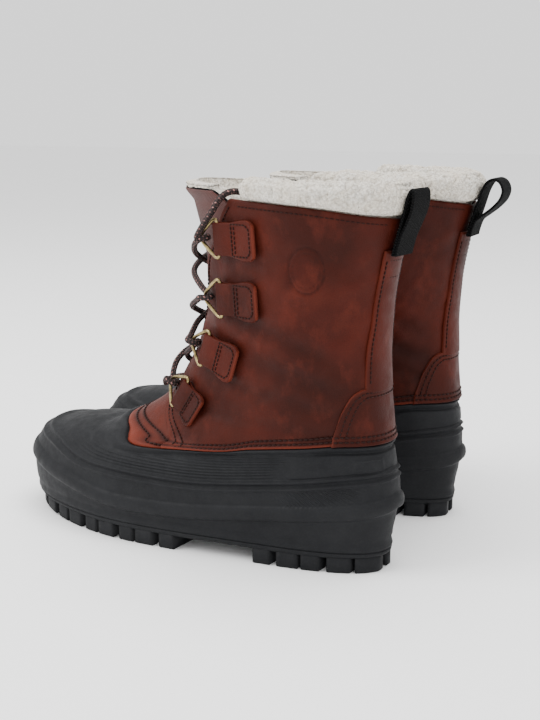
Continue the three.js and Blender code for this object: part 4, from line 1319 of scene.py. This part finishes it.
def tongue_grid(margin, top, columns, rows):
    """Angles, heights and fullness over the tongue, out to a margin past its edge."""
    s, t = shares(columns, 0.01), shares(rows, 0.006)
    z = np.broadcast_to(lerp(TONGUE_FOOT, top, t)[:, None], (len(t), len(s)))
    edge = tongue_edge(z) + margin
    return lerp(edge, 360 - edge, s[None, :]), z, rounded(len(t), len(s))


def tongue_flare(z):
    """How far the tongue leans out of the leg above the rim."""
    return (LEATHER + LOOSE) * smoothstep(z, RIM_FRONT - 6, TONGUE_TOP)


def tongue_solid():
    angle, z, full = tongue_grid(0, TONGUE_TOP, 70, 90)
    depth = -(LEATHER + LOOSE) + tongue_flare(z)
    wave = 0.35 * noise(outline(angle, z), 22, 11)
    high = depth - TONGUE_LEAF + TONGUE_LEAF * full + wave
    uv = np.stack([(angle - 180) * 0.8, z], -1)
    return slab(skin(angle, z, high), skin(angle, z, depth - TONGUE_LEAF + wave), uv)


def tongue_binding():
    """The narrow black tape round the tongue's edge."""
    z = np.linspace(TONGUE_FOOT + 2, TONGUE_TOP - 1, 60)
    depth = -(LEATHER + LOOSE) + tongue_flare(z) - TONGUE_LEAF / 2 - 0.5
    up = skin(tongue_edge(z) + 0.6, z, depth)
    down = skin(360 - tongue_edge(z) - 0.6, z, depth)[::-1]
    across = np.linspace(tongue_edge(TONGUE_TOP), 360 - tongue_edge(TONGUE_TOP), 40)[1:-1]
    top = skin(across, TONGUE_TOP, depth[-1])
    return tube(np.concatenate([up, top, down]), TAPE_RADIUS, 8)


def tongue_fleece():
    angle, z, full = tongue_grid(1.5, TONGUE_TOP + 3.5, 130, 170)
    front = -(LEATHER + LOOSE) + tongue_flare(z) - TONGUE_LEAF - 0.3
    back = front - LINING * full
    high = smoothstep(z, TONGUE_TOP - 3, TONGUE_TOP + 1.5)
    face = outline(angle, z)
    curls = nubs(face, 3.6, 21) + noise(face, 9, 4) * 0.5
    showing = skin(angle, z, front + high * (1.2 * full + curls - 0.6))
    return slab(showing, skin(angle, z, back - curls * full))


def add_tongues():
    make_pair("tongue_cloth", tongue_solid(), CLOTH_LOOK, "tongue", ["tongue"])
    make_pair("tongue_tape", tongue_binding(), WEBBING_LOOK, "tongue")
    lining = make_pair("tongue_fleece", tongue_fleece(), FLEECE_LOOK, "tongue", ["tongue_lining"])


# ---- lining, collar and footbed
def collar_solid():
    """The curly fleece that stands above the rim: a thick roll, closed at both ends."""
    end = COLLAR_END + 2
    columns = np.linspace(-end, end, 620)
    profile = smooth_path(
        [(0.02, -9.0), (0.02, -2.5), (0.1, 0.3), (0.32, 2.6), (0.62, 2.9), (0.9, 0.6), (1.02, -3.5),
         (0.96, -8), (0.6, -11.5), (0.2, -11.8)],
        0.06, closed=True,
    )
    profile = profile[:: max(1, len(profile) // 96)]
    fade = np.clip((end - np.abs(columns)) / 6, 0, 1)
    size = np.sqrt(1 - (1 - fade) ** 2) * 0.9 + 0.1
    angle = np.broadcast_to(columns[:, None], (len(columns), len(profile)))
    # The middle of the roll: its share of the height above the rim, and its depth.
    mid_share, mid_depth = 0.35, -4.5
    share = mid_share + (profile[None, :, 0] - mid_share) * size[:, None]
    depth = mid_depth + (profile[None, :, 1] - mid_depth) * size[:, None]
    z = rim(angle) + 0.4 + (collar(angle) - rim(angle)) * share
    core = skin(angle, z, depth)
    centre_z = rim(columns) + 0.4 + (collar(columns) - rim(columns)) * mid_share
    middle = skin(columns, centre_z, mid_depth)
    away = unit(core - middle[:, None])
    under_loop = 1 - 0.7 * hump(angle, 13) * (depth > -3)
    at_rim = smoothstep(share, 0.0, 0.3)
    curls = nubs(core, CURL, 7) * 2.2 + noise(core, 1.6, 9) * 0.5 + noise(core, 15, 2) * 1.1 - 0.6
    quiet = under_loop * np.where(depth > -6, at_rim, 1.0) * size[:, None]
    points = core + away * (curls * quiet - 1.8 * (1 - under_loop))[..., None]
    m, n = points.shape[:2]
    faces = [tuple(q) for q in quads(m, n, wrap_columns=True)]
    return Solid(points, faces + [tuple(range(n)), tuple(range((m - 1) * n, m * n))])


def lining_depth(angle, z):
    """How deep the lining's outer face lies: inside the rubber, its flange, then the leather."""
    low = -(RUBBER_WALL + RIDGE_STEP + LOOSE)
    inset = -(LEATHER + EASE + GAP) - FLANGE_WALL - LOOSE - GAP
    at_flange = lerp(low, inset, smoothstep(z, lower_ridge(angle), hem(angle) - 8))
    top = hem(angle) + FLANGE_LAP
    return lerp(at_flange, -(LEATHER + LOOSE), smoothstep(z, top + 1, top + 9))


TONGUE_OPENING = through(
    [(VAMP_TOP - 15, 180), (VAMP_TOP - 14, 168), (VAMP_TOP - 8, 150), (VAMP_TOP + 4, 137),
     (VAMP_TOP + 22, 128), (150, 118), (180, 112), (204, 107), (220, 101), (RIM_FRONT - 11, 96),
     (RIM_FRONT + 5, 94)]
)


def lining_solid():
    """The fleece-faced felt boot inside: it goes under the foot and opens at the tongue."""
    bottom = OUTSOLE_TOP + GAP + SHELL_FLOOR + GAP + FOOTBED + GAP
    rows = np.concatenate([np.linspace(0, 0.36, 26), np.linspace(0.36, 1, 100)[1:]])
    half = shares(150, 0.004) * 2 - 1
    guess = lerp(bottom, RIM_BACK - 1, rows)[:, None]
    angle = half[None, :] * np.where(guess < VAMP_TOP - 15, 179.9, TONGUE_OPENING(guess))
    z = lerp(bottom, rim(angle) + 2, rows[:, None])
    depth = lining_depth(angle, z)
    core = outline(angle, z)
    showing = smoothstep(z, 120, 170)
    curls = (nubs(core, CURL, 31) * 1.3 + noise(core, 11, 6) * 0.7) * showing
    return slab(skin(angle, z, depth), skin(angle, z, depth - LINING + 0.6 - curls))


def footbed_solid():
    low = OUTSOLE_TOP + GAP + SHELL_FLOOR + GAP
    depth = -(RUBBER_WALL + RIDGE_STEP + LOOSE)
    top = low + FOOTBED
    edge = [(low, -1), (low + 0.8, 0), (top - 1.2, 0), (top - 0.3, -0.4), (top, -1.4)]
    return stack([level_loop(z, depth + inset) for z, inset in edge])


def add_lining():
    for piece in make_pair("collar_fleece", collar_solid(), FLEECE_LOOK, nodes=["fleece_collar"]):
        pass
    for piece in make_pair("lining_fleece", lining_solid(), FLEECE_LOOK, nodes=["felt_lining"]):
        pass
    for piece in make_pair("footbed_felt", footbed_solid(), FELT_LOOK, nodes=["footbed"]):
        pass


# ---- pull loop
def pull_loop_solid(spread):
    """Webbing sewn double to the heel, opening into a drop above: spread is how wide it is."""
    off = OVERLAY + 3 * GAP
    middle = [
        (0.9, 214), (0.9, 220), (0.95, 226), (1.4, 237), (2.5, 247.5), (5.0, 253.3), (9.0, 255.1),
        (13.6, 253.2), (17.2, 247.6), (16.9, 241.5), (13.4, 235.6), (7.6, 229.6), (3.6, 225.6),
        (2.75, 220), (2.75, 214),
    ]

    def opened(out, z):
        return out if z < 221 else 1 + (out - 1) * lerp(1, spread, smoothstep(z, 221, 232))

    path = smooth_path([(heel_end(z) - off - opened(out, z), 0, z) for out, z in middle], 1.2)
    ahead = unit(np.gradient(path, axis=0))
    face = np.stack([-ahead[:, 2], np.zeros(len(path)), ahead[:, 0]], -1)
    columns = shares(20, 0.03) * 2 - 1
    full = rolls(len(columns))
    across = columns * WEBBING_WIDTH / 2
    thick = WEBBING / 2 * (0.35 + 0.65 * full)
    line = path[:, None] + np.array([0, 1.0, 0]) * across[None, :, None]
    uv = np.stack(np.broadcast_arrays(run_of(path)[:, None], across[None, :]), -1)
    half = face[:, None] * thick[None, :, None]
    return slab(line + half, line - half, uv)


def add_pull_loops():
    for boot, spread in (("left", 0.3), ("right", 1.0)):
        solid = pull_loop_solid(spread)
        make(boot, "pull_loop_webbing", solid, WEBBING_LOOK, "boot", ["pull_loop"])


# ---- stage
WORLD_STRENGTH = 1.45
LIGHTS_AIM = Vector((0, 0, 0.12))
# name, place and side in metres, watts
LIGHTS = [
    ("key", (1.1, -1.2, 1.4), 1.0, 34),
    ("fill", (1.4, 1.3, 1.0), 1.5, 6),
    ("top", (0, 0.2, 1.8), 1.2, 30),
]


def add_stage():
    look = Look("floor", 0.9, Specular_IOR_Level=0.2)
    look.color((0.95, 0.95, 0.95))
    mesh = bpy.data.meshes.new("floor")
    corners = [(x * FLOOR_HALF, y * FLOOR_HALF, 0) for x, y in ((-1, -1), (1, -1), (1, 1), (-1, 1))]
    mesh.from_pydata(corners, [], [(0, 1, 2, 3)])
    mesh.materials.append(look.material)
    floor = bpy.data.objects.new("floor", mesh)
    bpy.context.scene.collection.objects.link(floor)
    world = bpy.data.worlds.new("studio")
    world.use_nodes = True
    background = world.node_tree.nodes["Background"].inputs
    background["Color"].default_value = (1, 1, 1, 1)
    background["Strength"].default_value = WORLD_STRENGTH
    bpy.context.scene.world = world


def add_light(name, place, size, watts):
    data = bpy.data.lights.new(name, "AREA")
    data.shape = "RECTANGLE"
    data.size = data.size_y = size
    data.energy = watts
    light = bpy.data.objects.new(name, data)
    bpy.context.scene.collection.objects.link(light)
    light.location = place
    light.rotation_euler = (LIGHTS_AIM - Vector(place)).to_track_quat("-Z", "Y").to_euler()


add_camera()
add_laces()
add_rings()
add_tabs()
add_rubber()
add_leather()
add_tongues()
add_lining()
add_pull_loops()
add_stage()
for light in LIGHTS:
    add_light(*light)
